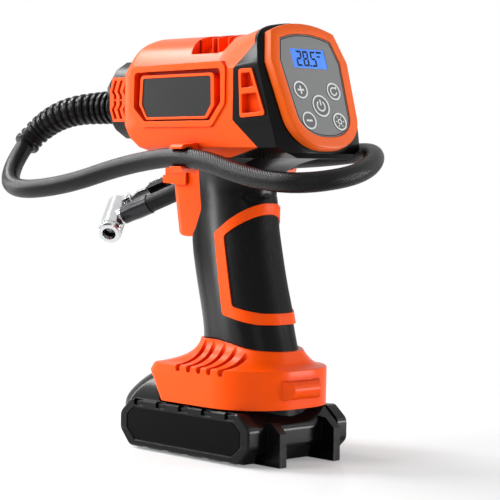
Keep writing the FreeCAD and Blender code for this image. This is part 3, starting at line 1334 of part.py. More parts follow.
def lines(low):
    """Air pipe from the cylinder head to the barb, and the wire bundle."""
    start = V(cylinder_x - 17.2, -4.0, low - 5.6)
    route = [(start.x, start.y, start.z), (-14.2, start.y, start.z), (-17.0, -9.5, 165.3),
             (-19.0, -18.0, 169.6), (-34.0, -22.6, 176.4), (-47.6, -22.6, 182.6), (-53.4, -13.0, 188.8),
             (-59.5, 0.0, hose_axis_z), (-65.9, 0.0, hose_axis_z)]
    body, wire, radii, share = pipe(route, 2.0, 1.2)
    save(body, "air_pipe")
    print("air pipe length %.1f radii %s volume share %.4f" % (wire.Length, radii, share))
    route = [(24.0, 0.0, 47.2), (22.0, 1.0, 60.0), (13.0, 7.0, 96.0), (6.0, 8.4, 124.0), (5.6, 8.8, 143.0),
             (12.0, 9.0, 152.0), (23.0, 9.0, 157.6), (34.4, 9.0, 164.0), (37.4, 8.0, 176.0),
             (44.6, 5.0, 183.0)]
    body, wire, radii, share = pipe(route, 2.2)
    save(body, "wire_bundle")
    print("wire length %.1f radii %s volume share %.4f" % (wire.Length, radii, share))


orange, black = housing()
save(near_half(orange), "head_shell_near")
save(far_half(orange), "head_shell_far")
save(near_half(black), "housing_near")
save(far_half(black), "housing_far")
save(Part.makeCompound([near_half(grip_border), far_half(grip_border)]), "grip_borders")
save(Part.makeCompound([near_half(grip_pad), far_half(grip_pad)]), "grip_pads")
save(screws(), "housing_screws")
display()
nose()
side_parts()
base()
battery()
trigger()
cylinder_low = pump()
hose_and_boot()
chuck()
lines(cylinder_low)
print("nodes", len(nodes))
route_wire = bend_route(hose_route)[0]
steps = [along(route_wire, 2.0 * i)[0] for i in range(1, 312)]
for side in (-1, 1):
    spot = min((q for q in steps if q.y * side > 20), key=lambda q: abs(q.x - (clip_x0 + clip_x1) / 2))
    print("hose at the clip", spot)
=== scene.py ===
import math

import bmesh
import bpy
import numpy as np
from bpy.props import FloatProperty, FloatVectorProperty, IntProperty, PointerProperty
from bpy.types import Operator, Panel, PropertyGroup
from mathutils import Matrix, Vector


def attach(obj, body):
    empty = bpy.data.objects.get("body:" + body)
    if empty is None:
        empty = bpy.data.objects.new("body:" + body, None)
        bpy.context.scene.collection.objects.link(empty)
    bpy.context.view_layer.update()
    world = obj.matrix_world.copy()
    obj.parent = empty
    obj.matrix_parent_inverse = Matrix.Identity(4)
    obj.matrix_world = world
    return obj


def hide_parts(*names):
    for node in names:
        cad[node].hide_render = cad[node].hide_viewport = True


bl_info = {
    "name": "Cordless tire inflator",
    "version": (1, 0, 0),
    "blender": (4, 5, 0),
    "location": "View3D > Sidebar > Inflator",
    "description": "Dresses the packed inflator: plastics, braided hose, display, chuck and stage",
    "category": "Object",
}

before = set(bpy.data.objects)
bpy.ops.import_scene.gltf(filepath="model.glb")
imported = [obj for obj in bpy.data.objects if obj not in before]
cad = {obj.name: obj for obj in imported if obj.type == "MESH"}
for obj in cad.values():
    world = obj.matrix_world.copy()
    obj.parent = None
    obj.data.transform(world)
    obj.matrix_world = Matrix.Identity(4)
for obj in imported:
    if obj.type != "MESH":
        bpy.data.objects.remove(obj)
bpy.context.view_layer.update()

MM = 0.001
WHITE = (1.0, 1.0, 1.0, 1.0)


# Settings shown in the sidebar

def swatch(name, description, default):
    """A colour that the user may change."""
    return FloatVectorProperty(
        name=name, description=description, default=default, subtype="COLOR", min=0, max=1)


def measure(name, description, default, low, high):
    """A length that the user may change."""
    return FloatProperty(
        name=name, description=description, default=default, min=low, max=high, unit="LENGTH")


class InflatorColours(PropertyGroup):
    orange: swatch("Orange", "Moulded shells, bezel, base and trigger", (1.0, 0.084, 0.001))
    black: swatch("Black", "Housing and battery plastic", (0.0026, 0.0026, 0.0028))
    rubber: swatch("Rubber", "Grip pads, hose boot and trigger strip", (0.0034, 0.0034, 0.0036))
    panel: swatch("Panel", "Face of the control panel", (0.190, 0.192, 0.194))
    screen: swatch("Screen", "Backlight of the display", (0.046, 0.222, 0.84))
    label: swatch("Label", "Bare plates in the side frames", (0.026, 0.026, 0.027))
    hose: swatch("Hose jacket", "Yarn of the braided hose", (0.0034, 0.0034, 0.0036))


class InflatorSizes(PropertyGroup):
    edge: measure("Edge radius", "Rounding of the moulded edges", 0.00045, 0, 0.002)
    hose_diameter: measure(
        "Hose diameter", "Outside diameter of the braided hose", 0.0108, 0.004, 0.02)
    carriers: IntProperty(
        name="Braid carriers", description="Yarns that run each way round the hose",
        default=20, min=8, max=48)
    stipple: measure("Stipple pitch", "Spacing of the grip texture", 0.0011, 0.0003, 0.004)


# Node trees and shader maths

class Wire:
    """One output socket. Sums, products and powers of wires add Math nodes."""

    def __init__(self, graph, socket):
        self.graph = graph
        self.socket = socket

    def maths(self, operation, *values):
        return self.graph.node(
            "ShaderNodeMath", {"operation": operation}, dict(enumerate(values)))

    def __add__(self, other):
        return self.maths("ADD", self, other)

    def __radd__(self, other):
        return self.maths("ADD", other, self)

    def __sub__(self, other):
        return self.maths("SUBTRACT", self, other)

    def __rsub__(self, other):
        return self.maths("SUBTRACT", other, self)

    def __mul__(self, other):
        return self.maths("MULTIPLY", self, other)

    def __rmul__(self, other):
        return self.maths("MULTIPLY", other, self)

    def __pow__(self, other):
        return self.maths("POWER", self, other)

    def __rpow__(self, other):
        return self.maths("POWER", other, self)

    def most(self, other):
        """The larger of two."""
        return self.maths("MAXIMUM", self, other)

    def clamp(self):
        return self.maths("MINIMUM", self.most(0.0), 1.0)


class Graph:
    """A node tree and the one way its nodes are made."""

    def __init__(self, tree):
        self.tree = tree
        tree.nodes.clear()

    def node(self, kind, settings=None, values=None, out=0):
        made = self.tree.nodes.new(kind)
        for key, value in (settings or {}).items():
            setattr(made, key, value)
        for key, value in (values or {}).items():
            if isinstance(value, Wire):
                self.tree.links.new(value.socket, made.inputs[key])
            else:
                made.inputs[key].default_value = value
        return Wire(self, made.outputs[out])

    def end(self, kind, last):
        """Feed the last wire to the tree's output node."""
        output = self.tree.nodes.new(kind)
        self.tree.links.new(last.socket, output.inputs[0])


class Finish(Graph):
    """A material, with the nodes that several finishes use."""

    def __init__(self, name):
        self.material = bpy.data.materials.new(name)
        self.material.use_nodes = True
        super().__init__(self.material.node_tree)

    def place(self):
        return self.node("ShaderNodeTexCoord", out="Object")

    def along(self, axis):
        return self.node("ShaderNodeSeparateXYZ", None, {"Vector": self.place()}, out=axis)

    def noise(self, scale, detail=2.0, where=None, rough=0.5):
        return self.node("ShaderNodeTexNoise", None, {
            "Vector": where or self.place(), "Scale": scale, "Detail": detail,
            "Roughness": rough})

    def blend(self, share, first, second):
        """Mix of two colours, each four channels or a wire."""
        return self.node("ShaderNodeMix", {"data_type": "RGBA"}, {0: share, 6: first, 7: second},
                         out=2)

    def bump(self, height, depth, strength=1.0, under=None):
        values = {"Height": height, "Distance": depth, "Strength": strength}
        if under is not None:
            values["Normal"] = under
        return self.node("ShaderNodeBump", None, values)

    def round_edges(self, radius):
        """Normal that rounds the edges, or None where they stay sharp."""
        if radius > 0:
            return self.node("ShaderNodeBevel", {"samples": 4}, {"Radius": radius})
        return None

    def surface(self, **values):
        named = {key.replace("_", " "): value for key, value in values.items()}
        self.end("ShaderNodeOutputMaterial",
                 self.node("ShaderNodeBsdfPrincipled", None, named))
        return self.material


def colour(value, factor=1.0):
    """Four channels, scaled and kept below full brightness."""
    return (*[min(1.0, channel * factor) for channel in value[:3]], 1.0)


# Materials

# painted shade in recesses: how far round a point its open air is felt, the open share below which
# the painted shade is at its deepest, and how fast it clears above that share
AIR_REACH = 0.007
AIR_CLOSED = 0.18
AIR_GAIN = 1.7

# the handle's flat sides catch light as if they bulged: a point of their axis and the height where
# the bulge ends, in metres, the axis's lean, and the bend and the fade below that height per metre
HANDLE_CROWN = {"axis_x": 0.014, "axis_z": 0.1094, "lean": 0.20, "top": 0.165, "bend": 16.0}
CROWN_FADE = 100.0


def crowned(f, crown, under):
    """Bump of one wide bulge along a leaning axis, on top of the normal under it."""
    x = f.along("X")
    z = f.along("Z")
    across = x - ((crown["axis_z"] - z) * crown["lean"] + crown["axis_x"])
    fade = ((crown["top"] - z) * CROWN_FADE).clamp()
    return f.bump(across * across * (-crown["bend"] / 2) * fade, 1.0, 1.0, under)


def moulded(name, tone, rough, grain=0.0006, depth=0.00001, edge=0.0, vary=0.06, level=0.5,
            painted_recess_shade=None, crown=None, **more):
    """Moulded plastic: faint tone drift, fine grain, uneven gloss, rounded edges, painted shade in
    recesses.
    """
    f = Finish(name)
    cloud = f.noise(14.0, 3.0)
    grit = f.noise(1.0 / grain, 2.0, rough=0.6)
    base = f.blend(cloud, colour(tone, 1 - vary), colour(tone, 1 + vary))
    # painted shade: where ambient occlusion finds little open air round a point, the base colour
    # turns to the darker recess tone
    if painted_recess_shade:
        air = f.node("ShaderNodeAmbientOcclusion", {"samples": 6}, {"Distance": AIR_REACH},
                     out="AO")
        base = f.blend(((air - AIR_CLOSED) * AIR_GAIN).clamp(), colour(painted_recess_shade), base)
    gloss = rough + (cloud - 0.5) * 0.10 + (grit - 0.5) * 0.08
    under = f.round_edges(edge)
    if crown:
        under = crowned(f, crown, under)
    return f.surface(Base_Color=base, Roughness=gloss.clamp(),
                     Normal=f.bump(grit, depth, 1.0, under), Specular_IOR_Level=level, **more)


def stippled(name, tone, rough, pitch, depth):
    """Soft rubber with raised grains, with painted shade between them and lighter grain tops."""
    f = Finish(name)
    where = f.place()
    cells = f.node("ShaderNodeTexVoronoi", {"feature": "F1"},
                   {"Vector": where, "Scale": 1.0 / pitch, "Randomness": 0.85}, out="Distance")
    grit = f.noise(1.9 / pitch, 2.0, where)
    height = (1.0 - cells) * 0.7 + grit * 0.5
    cloud = f.noise(10.0, 2.0, where)
    # painted shade: darker between the grains and lighter on their tops, by their height
    grain_shade_tint = f.blend((height - 0.35).clamp(), colour(tone, 0.55), colour(tone, 1.7))
    gloss = rough + (cloud - 0.5) * 0.12 - (height - 0.6) * 0.15
    return f.surface(Base_Color=grain_shade_tint, Roughness=gloss.clamp(), Normal=f.bump(height, depth),
                     Specular_IOR_Level=0.08)


def metal(name, tone, rough, brushed=0.0, edge=0.0):
    """Plated or machined metal, with faint marks in its gloss."""
    f = Finish(name)
    where = f.place()
    marks = f.node("ShaderNodeMapping", None, {"Vector": where, "Scale": (40.0, 900.0, 900.0)})
    lines = f.noise(1.0, 3.0, marks)
    cloud = f.noise(60.0, 3.0, where)
    base = f.blend(cloud, colour(tone, 0.92), colour(tone, 1.05))
    gloss = rough + (cloud - 0.5) * 0.06 + (lines - 0.5) * brushed
    normal = f.bump(lines, 0.000004 + brushed * 0.00002, 0.5, f.round_edges(edge))
    return f.surface(Base_Color=base, Roughness=gloss.clamp(), Metallic=1.0, Normal=normal)


def jacket(name, tone):
    """Braided yarn: the mesh carries the weave height, the shader its tone and sheen, with painted
    shade in the gaps between yarns.
    """
    f = Finish(name)
    weave = f.node("ShaderNodeAttribute", {"attribute_name": "weave"}, out="Fac")
    cloud = f.noise(40.0, 2.0)
    thread = f.noise(5000.0, 1.0)
    # painted shade: the yarns darken towards the gaps between them and lighten on their crests
    base = f.blend((weave ** 2.0).clamp(), colour(tone, 0.12), colour(tone, 1.5))
    gloss = 0.38 + (cloud - 0.5) * 0.08 - weave * weave * 0.22
    return f.surface(Base_Color=base, Roughness=gloss.clamp(),
                     Normal=f.bump(thread, 0.00002, 0.4), Specular_IOR_Level=0.16)


def backlit(name, tone):
    """Blue display, with a backlight that drifts a little over the glass."""
    f = Finish(name)
    where = f.place()
    cloud = f.noise(55.0, 1.0, where)
    fine = f.noise(4000.0, 1.0, where)
    base = f.blend(cloud, colour(tone, 0.92), colour(tone, 1.08))
    glow = f.blend(cloud, colour(tone, 0.60), colour(tone, 0.72))
    return f.surface(Base_Color=base, Roughness=0.16 + fine * 0.06, Emission_Color=glow,
                     Emission_Strength=0.42, Specular_IOR_Level=0.2)


finishes = {}


def make_finishes():
    hues = bpy.context.scene.inflator_colours
    sizes = bpy.context.scene.inflator_sizes
    edge = sizes.edge
    fine_edge = edge * 0.7
    nylon = {"grain": 0.0005, "depth": 0.000008, "edge": edge, "vary": 0.12}
    film = {"grain": 0.0003, "depth": 0.000004, "vary": 0.08}
    finishes.update({
        # painted shade: the orange shells darken to deep red in their recesses
        "orange": moulded("orange_abs", hues.orange, 0.33, edge=edge, vary=0.03, level=0.12,
                          painted_recess_shade=(0.55, 0.006, 0.001)),
        "orange_soft": moulded("orange_soft_touch", colour(hues.orange, 0.97), 0.40,
                               grain=0.0004, depth=0.000015, edge=edge, level=0.12),
        # painted highlight: the bezel's orange is made half again lighter for the light it catches
        "orange_gloss_painted_highlight": moulded("orange_gloss_painted_highlight", colour(hues.orange, 1.5), 0.30, edge=edge,
                                vary=0.03, level=0.22),
        "black": moulded("black_nylon", hues.black, 0.25, **nylon, level=0.09),
        "handle_black": moulded("handle_nylon", hues.black, 0.25, **nylon, level=0.10,
                                crown=HANDLE_CROWN),
        "black_gloss": moulded("black_gloss", hues.black, 0.18, grain=0.0007, depth=0.000004,
                               edge=edge, vary=0.10, level=0.05),
        "black_satin": moulded("black_satin", hues.black, 0.24, grain=0.0004, depth=0.000010,
                               edge=edge, vary=0.12, level=0.14),
        "pad": stippled("stippled_rubber", hues.rubber, 0.50, sizes.stipple, 0.00016),
        "rubber": moulded("boot_rubber", hues.rubber, 0.26, grain=0.0005, vary=0.15, level=0.12),
        "label": moulded("bare_label_film", hues.label, 0.34, **film, level=0.08),
        "battery_film": moulded("battery_film", colour(hues.black, 0.8), 0.30, **film,
                                level=0.04),
        "panel": moulded("panel_face", hues.panel, 0.45, grain=0.00025, depth=0.000004,
                         vary=0.03),
        "key": moulded("key_face", colour(hues.panel, 0.55), 0.48, grain=0.0003,
                       depth=0.000005, vary=0.05),
        "print": moulded("white_print", (0.80, 0.81, 0.82), 0.5, grain=0.0003, depth=0.000003,
                         vary=0.03),
        "segment": moulded("dark_segment", (0.001, 0.002, 0.006), 0.5, grain=0.0003,
                           depth=0.000002, vary=0.05, level=0.1),
        "lcd": backlit("backlit_screen", hues.screen),
        "jacket": jacket("hose_jacket", hues.hose),
        "chrome": metal("chrome_plate", (0.60, 0.61, 0.62), 0.16, edge=fine_edge),
        "black_metal": metal("black_plate", (0.035, 0.035, 0.037), 0.28, 0.05, fine_edge),
        "steel": metal("steel", (0.50, 0.51, 0.52), 0.34, 0.2),
        "aluminium": metal("aluminium", (0.70, 0.71, 0.72), 0.42, 0.1),
        "brass": metal("brass", (0.68, 0.47, 0.17), 0.30, 0.1),
        "board": moulded("solder_mask", (0.012, 0.12, 0.035), 0.35, grain=0.0008, vary=0.15),
        "device": moulded("device_body", (0.03, 0.03, 0.033), 0.5),
        "wrap": moulded("cell_wrap", (0.05, 0.22, 0.45), 0.35, grain=0.0012),
        "wire": moulded("wire_insulation", (0.30, 0.02, 0.02), 0.4),
        "nylon": moulded("white_nylon", (0.72, 0.72, 0.68), 0.45),
        "lens": moulded("clear_lens", (0.85, 0.88, 0.92), 0.08, Transmission_Weight=0.7),
    })


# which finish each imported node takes
DRESS = {
    "orange": "head_shell_near head_shell_far base_shoe nose_grilles trigger side_vents",
    "orange_gloss_painted_highlight": "bezel",
    "orange_soft": "grip_borders",
    "black": "nose",
    "handle_black": "housing_near housing_far",
    "black_gloss": "release_button",
    "black_satin": "battery_upper battery_lower thumb_pad",
    "pad": "grip_pads",
    "rubber": "trigger_strip hose_boot chuck_seal air_pipe",
    "label": "label_plates",
    "battery_film": "battery_labels",
    "panel": "control_panel",
    "key": "key_plus key_minus key_mode key_light key_power",
    "lcd": "lcd_window",
    "lens": "light_lens",
    "board": "display_board battery_board",
    "device": "tact_switches lcd_module pressure_sensor trigger_switch terminal_block",
    "wrap": "battery_cells",
    "wire": "wire_bundle",
    "chrome": "chuck_head chuck_lever",
    "black_metal": "chuck_stem",
    "steel": "housing_screws trigger_spring latch_spring pinion_shaft crank lever_pin motor "
             "gear_bracket latch_hook",
    "aluminium": "cylinder cylinder_head connecting_rod piston",
    "brass": "hose_barb charge_socket",
    "nylon": "fan gear",
    "jacket": "hose",
}


# Mesh helpers

WELD_GAP = 0.000004
SMOOTH_BELOW = math.radians(28)


def smooth_group():
    """Geometry nodes that join the doubled corners and shade smooth below an edge angle."""
    group = bpy.data.node_groups.new("join_and_smooth", "GeometryNodeTree")
    for way in ("INPUT", "OUTPUT"):
        group.interface.new_socket("Geometry", in_out=way, socket_type="NodeSocketGeometry")
    g = Graph(group)
    start = g.node("NodeGroupInput")
    weld = g.node("GeometryNodeMergeByDistance", None, {"Geometry": start, "Distance": WELD_GAP})
    faces = g.node("GeometryNodeSetShadeSmooth", {"domain": "FACE"}, {"Geometry": weld})
    angle = g.node("GeometryNodeInputMeshEdgeAngle", out="Unsigned Angle")
    below = g.node("FunctionNodeCompare", {"data_type": "FLOAT", "operation": "LESS_THAN"},
                   {"A": angle, "B": SMOOTH_BELOW})
    edges = g.node("GeometryNodeSetShadeSmooth", {"domain": "EDGE"},
                   {"Geometry": faces, "Shade Smooth": below})
    g.end("NodeGroupOutput", edges)
    return group


def paint(piece, key):
    """One finish over the whole piece."""
    piece.data.materials.clear()
    piece.data.materials.append(finishes[key])
    return piece


def placed(name, mesh, key):
    """An object in the scene from a mesh, with one finish."""
    piece = bpy.data.objects.new(name, mesh)
    bpy.context.scene.collection.objects.link(piece)
    return paint(piece, key)


def plates(name, outlines, matrix, low, high, key):
    """Thin raised plates from outlines in a local plane, all in one piece."""
    bm = bmesh.new()
    for outline in outlines:
        bottom = [bm.verts.new(matrix @ Vector((x, y, low))) for x, y in outline]
        top = [bm.verts.new(matrix @ Vector((x, y, high))) for x, y in outline]
        bm.faces.new(top)
        bm.faces.new(bottom[::-1])
        for i in range(len(outline)):
            j = (i + 1) % len(outline)
            bm.faces.new([bottom[i], bottom[j], top[j], top[i]])
    bmesh.ops.recalc_face_normals(bm, faces=bm.faces)
    mesh = bpy.data.meshes.new(name)
    bm.to_mesh(mesh)
    bm.free()
    return placed(name, mesh, key)


RING_STEPS = 48


def ring_strips(cx, cy, outer, inner, start=0.0, end=360.0):
    """Annulus or arc as short quads in a plane."""
    def spot(radius, turn):
        return cx + radius * math.cos(turn), cy + radius * math.sin(turn)

    count = int(RING_STEPS * (end - start) / 360)
    turns = [math.radians(start + (end - start) * i / count) for i in range(count + 1)]
    return [[spot(outer, a), spot(outer, b), spot(inner, b), spot(inner, a)]
            for a, b in zip(turns, turns[1:])]


def bar(cx, cy, width, height, turn=0.0):
    """Turned rectangle in a plane."""
    c = math.cos(math.radians(turn))
    s = math.sin(math.radians(turn))
    corners = []
    for side, end in ((-1, -1), (1, -1), (1, 1), (-1, 1)):
        x = side * width / 2
        y = end * height / 2
        corners.append((cx + x * c - y * s, cy + x * s + y * c))
    return corners


# Display: places on the panel are in millimetres, across and up from its middle

TILT = math.radians(20.4)
OUT = Vector((math.cos(TILT), 0, math.sin(TILT)))
UP = Vector((-math.sin(TILT), 0, math.cos(TILT)))
PANEL_MIDDLE = (0.06115, 0.0, 0.2000)
screen = Matrix.Translation(PANEL_MIDDLE) @ Matrix((
    (0, UP.x, OUT.x, 0), (1, UP.y, OUT.y, 0), (0, UP.z, OUT.z, 0), (0, 0, 0, 1),
)) @ Matrix.Scale(MM, 4)

# across, up and radius of each key, and how far each face lies behind the panel's middle
KEY_SPOTS = {
    "key_plus": (-12.3, -2.0, 5.0), "key_mode": (12.3, -2.0, 5.0),
    "key_minus": (-11.4, -19.1, 5.0), "key_light": (11.4, -19.1, 5.0),
    "key_power": (0.0, -10.6, 6.2)}
KEY_FACE = -0.15
LCD_FACE = -0.6
PANEL_FACE = -0.4

# how far the figures, the line and the marks reach into the face they stand on
SUNK = 0.02

# how near the face a vertex counts as on it, and how far from a key's edge it is the panel's own
FACE_NEAR = 0.05
KEY_CLEAR = 0.6

# the dark line near the panel's edge: the height of the middle it goes round, the half width and
# half height of the window, whose vertices it leaves out, and its two edges as shares of the way
# out to the panel's outline, across and up
RIM_MIDDLE = 1.0
WINDOW_HALF = (13.5, 24.0)
LINE_OUTER = (0.985, 0.985)
LINE_INNER = (0.960, 0.966)

# the reading, its figures' left edges, and the sizes that all figures share, then its point and two
# plain bars in place of the unit, each by its middle, width and height
READING = "285"
DIGIT_LEFTS = (-9.6, -4.6, 1.1)
DIGIT_LOW = 11.8
DIGIT_WIDE = 4.1
DIGIT_HIGH = 8.7
DIGIT_THICK = 1.05
DIGIT_GAP = 0.18
DIGIT_LEAN = 0.08
POINT = (0.55, 12.3, 1.0, 1.0)
UNIT_MARKS = ((8.3, 20.1, 4.0, 1.0), (7.6, 17.7, 2.4, 0.8))

SEGMENTS = {"0": "abcdef", "1": "bc", "2": "abged", "3": "abgcd", "4": "fgbc", "5": "afgcd",
            "6": "afgedc", "7": "abc", "8": "abcdefg", "9": "abcdfg"}


def digit(value, left):
    """Seven-segment outlines of one figure, leaning to the right."""
    w, h, t, gap = DIGIT_WIDE, DIGIT_HIGH, DIGIT_THICK, DIGIT_GAP
    m = h / 2
    half = t / 2
    shapes = {
        "a": [(gap, h), (w - gap, h), (w - t, h - t), (t, h - t)],
        "d": [(gap, 0), (t, t), (w - t, t), (w - gap, 0)],
        "g": [(t * 0.6, m), (t, m + half), (w - t, m + half),
              (w - t * 0.6, m), (w - t, m - half), (t, m - half)],
        "f": [(0, h - gap), (t, h - t - gap), (t, m + half + gap), (0, m + gap)],
        "b": [(w, h - gap), (w, m + gap), (w - t, m + half + gap), (w - t, h - t - gap)],
        "e": [(0, gap), (0, m - gap), (t, m - half - gap), (t, t + gap)],
        "c": [(w, gap), (w - t, t + gap), (w - t, m - half - gap), (w, m - gap)]}
    return [[(left + x + y * DIGIT_LEAN, DIGIT_LOW + y) for x, y in shapes[name]]
            for name in SEGMENTS[value]]


def panel_rim():
    """Outline of the panel's face, in order round its middle."""
    to_screen = screen.inverted()
    rim = {}
    for vertex in cad["control_panel"].data.vertices:
        place = to_screen @ vertex.co
        on_face = abs(place.z - PANEL_FACE) < FACE_NEAR
        off_keys = all(math.hypot(place.x - across, place.y - up) > radius + KEY_CLEAR
                       for across, up, radius in KEY_SPOTS.values())
        off_window = abs(place.x) > WINDOW_HALF[0] or abs(place.y) > WINDOW_HALF[1]
        if on_face and off_keys and off_window:
            spot = (round(place.x, 2), round(place.y, 2))
            rim[spot] = math.atan2(place.y - RIM_MIDDLE, place.x)
    return sorted(rim, key=rim.get)


def rim_line():
    """Strips of the dark line, drawn in from the panel's outline."""
    def drawn_in(spot, shares):
        return spot[0] * shares[0], RIM_MIDDLE + (spot[1] - RIM_MIDDLE) * shares[1]

    rim = panel_rim()
    return [[drawn_in(a, LINE_OUTER), drawn_in(b, LINE_OUTER),
             drawn_in(b, LINE_INNER), drawn_in(a, LINE_INNER)]
            for a, b in zip(rim, rim[1:] + rim[:1])]


def raised(name, outlines, face, height, key):
    """Thin plates that stand on one face of the panel."""
    return plates(name, outlines, screen, face - SUNK, face + height, key)


def key_marks(name, y, up, radius):
    """White ring and sign of one key."""
    marks = ring_strips(y, up, radius - 0.02, radius - 0.95)
    if name == "key_plus":
        marks += [bar(y, up, 4.6, 1.05), bar(y, up + 1.43, 1.05, 1.75),
                  bar(y, up - 1.43, 1.05, 1.75)]
    elif name == "key_minus":
        marks.append(bar(y, up, 4.2, 1.05))
    elif name == "key_power":
        marks += ring_strips(y, up, 3.2, 2.35, 125, 415)
        marks.append(bar(y, up + 1.9, 0.9, 3.4))
    elif name == "key_light":
        marks += ring_strips(y, up, 1.6, 0.95)
        for degrees in range(0, 360, 60):
            turn = math.radians(degrees)
            marks.append(bar(y + 2.7 * math.cos(turn), up + 2.7 * math.sin(turn), 1.1, 0.5,
                             degrees))
    else:
        marks += ring_strips(y, up, 2.5, 1.75, 60, 350)
        marks.append([(y + 0.4, up + 2.1), (y + 2.6, up + 3.0), (y + 2.3, up + 0.9)])
    return marks


# Hose: control points and braid in metres, yarn in shares of the braid's depth, boot in millimetres

HOSE_ROUTE = [
    (-0.0840, 0.0, 0.1918), (-0.1060, 0.0, 0.1918), (-0.1340, -0.0155, 0.1892),
    (-0.1600, -0.0210, 0.1746), (-0.1530, -0.0420, 0.1530), (-0.1270, -0.0590, 0.1415),
    (-0.0880, -0.0510, 0.1452), (-0.0440, -0.0415, 0.1582), (0.0040, -0.0376, 0.1639),
    (0.0530, -0.0376, 0.1510), (0.0875, -0.0330, 0.1490), (0.0945, 0.0040, 0.1550),
    (0.0705, 0.0394, 0.1676), (0.0300, 0.0392, 0.1632), (-0.0340, 0.0374, 0.1606),
    (-0.0802, 0.0325, 0.1438), (-0.1008, 0.0236, 0.1344)]

# the hose's rings: their spacing and the points in each, then the boot's rings
RING_STEP = 0.00034
HOSE_AROUND = 144
BOOT_STATIONS = 460
BOOT_AROUND = 72

# the braid's depth, and how far a yarn runs in one turn as a share of the hose's girth
BRAID_DEPTH = 0.00054
BRAID_LEAD = 1.05

# a yarn's roundness from edge to crest, its height where it goes under another, and how much
# higher it is where it goes over
YARN_ROUND = 0.96
YARN_UNDER = 0.55
YARN_RISE = 0.45

# where the boot starts on the hose, its plain root, its ribs, and its radii at root and tip
BOOT_START = 6.0
BOOT_ROOT = 3.4
BOOT_RIBS = 16
RIB_PITCH = 4.6
BOOT_RADII = (10.1, 7.4)

# each rib: depth of its groove and how much that lessens to the tip, its middle and half width
# as shares of the pitch, and how far it stands over the line between the radii
GROOVE_DEPTH = 1.15
GROOVE_LESSENS = 0.35
RIB_MIDDLE = 0.725
RIB_HALF = 0.36
RIB_RISE = 0.22

# after the ribs: a short neck, then the collar
NECK_LENGTH = 1.25
NECK_DROP = 0.8
COLLAR_RADIUS = 7.9
COLLAR_MIDDLE = 3.0
COLLAR_HALF = 1.8
COLLAR_ROUND = 0.5
COLLAR_END = 4.8


def columns(work, rows):
    """One function over X, Y and Z of an array of points."""
    return np.stack([work(rows[:, k]) for k in range(3)], axis=1)


def centreline(step):
    """Even points, and directions across them, read from the smooth curve of the route."""
    curve = bpy.data.curves.new("hose_line", "CURVE")
    curve.dimensions = "3D"
    curve.resolution_u = 40
    spline = curve.splines.new("NURBS")
    spline.points.add(len(HOSE_ROUTE) - 1)
    for point, place in zip(spline.points, HOSE_ROUTE):
        point.co = (*place, 1.0)
    spline.order_u = 3
    spline.use_endpoint_u = True
    holder = bpy.data.objects.new("hose_line", curve)
    bpy.context.scene.collection.objects.link(holder)
    bpy.context.view_layer.update()
    line = bpy.data.meshes.new_from_object(holder)
    raw = np.array([vertex.co for vertex in line.vertices])
    bpy.data.objects.remove(holder)
    bpy.data.meshes.remove(line)

    run = np.concatenate([[0.0], np.cumsum(np.linalg.norm(np.diff(raw, axis=0), axis=1))])
    at = np.linspace(0.0, run[-1], int(run[-1] / step) + 1)
    points = columns(lambda column: np.interp(at, run, column), raw)
    # a mean over five points takes out the facets between the points that were read
    mean = columns(lambda column: np.convolve(np.pad(column, 2, mode="edge"), np.ones(5) / 5,
                                              mode="valid"), points)
    points[3:-3] = mean[3:-3]

    heading = np.gradient(points, axis=0)
    heading /= np.linalg.norm(heading, axis=1)[:, None]
    side = np.cross(heading[0], (0, 0, 1.0))
    sides = [side / np.linalg.norm(side)]
    for ahead in heading[1:]:
        side = sides[-1] - ahead * np.dot(sides[-1], ahead)
        sides.append(side / np.linalg.norm(side))
    sides = np.array(sides)
    return at, points, sides, np.cross(heading, sides)


def skin(name, points, sides, ups, radii, key, weave=None):
    """Closed tube mesh: one ring at each station, radii as (stations, points in a ring)."""
    stations, around = radii.shape
    angles = np.arange(around) * 2 * math.pi / around
    offsets = (sides[:, None, :] * np.cos(angles)[None, :, None]
               + ups[:, None, :] * np.sin(angles)[None, :, None])
    verts = (points[:, None, :] + offsets * radii[:, :, None]).reshape(-1, 3)
    ring = np.arange(stations - 1)[:, None] * around
    j = np.arange(around)[None, :]
    k = (j + 1) % around
    quads = np.stack([ring + j, ring + k, ring + around + k, ring + around + j],
                     axis=2).reshape(-1, 4)
    first_cap = np.arange(around)[::-1]
    last_cap = (stations - 1) * around + np.arange(around)
    loops = np.concatenate([quads.ravel(), first_cap, last_cap])
    starts = np.concatenate([np.arange(len(quads)) * 4, len(quads) * 4 + np.arange(2) * around])

    mesh = bpy.data.meshes.new(name)
    mesh.vertices.add(len(verts))
    mesh.vertices.foreach_set("co", verts.astype(np.float32).ravel())
    mesh.loops.add(len(loops))
    mesh.loops.foreach_set("vertex_index", loops.astype(np.int32))
    mesh.polygons.add(len(starts))
    mesh.polygons.foreach_set("loop_start", starts.astype(np.int32))
    mesh.update(calc_edges=True)
    mesh.validate()
    if weave is not None:
        layer = mesh.attributes.new("weave", "FLOAT", "POINT")
        layer.data.foreach_set("value", weave.astype(np.float32).ravel())
    mesh.shade_smooth()
    return placed(name, mesh, key)


def braid(at, around, carriers, lead):
    """Height of a plain braid over the tube: yarns both ways, each over and under."""
    theta = (np.arange(around) / around)[None, :]
    turn = (at / lead)[:, None]
    u = carriers * (theta + turn)
    v = carriers * (theta - turn)

    def yarn(across, along, sign):
        lane = across - np.floor(across)
        crown = np.sqrt(np.clip(1 - (2 * lane - 1) ** 2 * YARN_ROUND, 0, 1))
        lift = 0.5 + 0.5 * sign * np.cos(np.pi * (along - 0.5 + np.floor(across)))
        return crown * (YARN_UNDER + YARN_RISE * lift)

    return np.maximum(yarn(u, v, 1.0), yarn(v, u, -1.0))


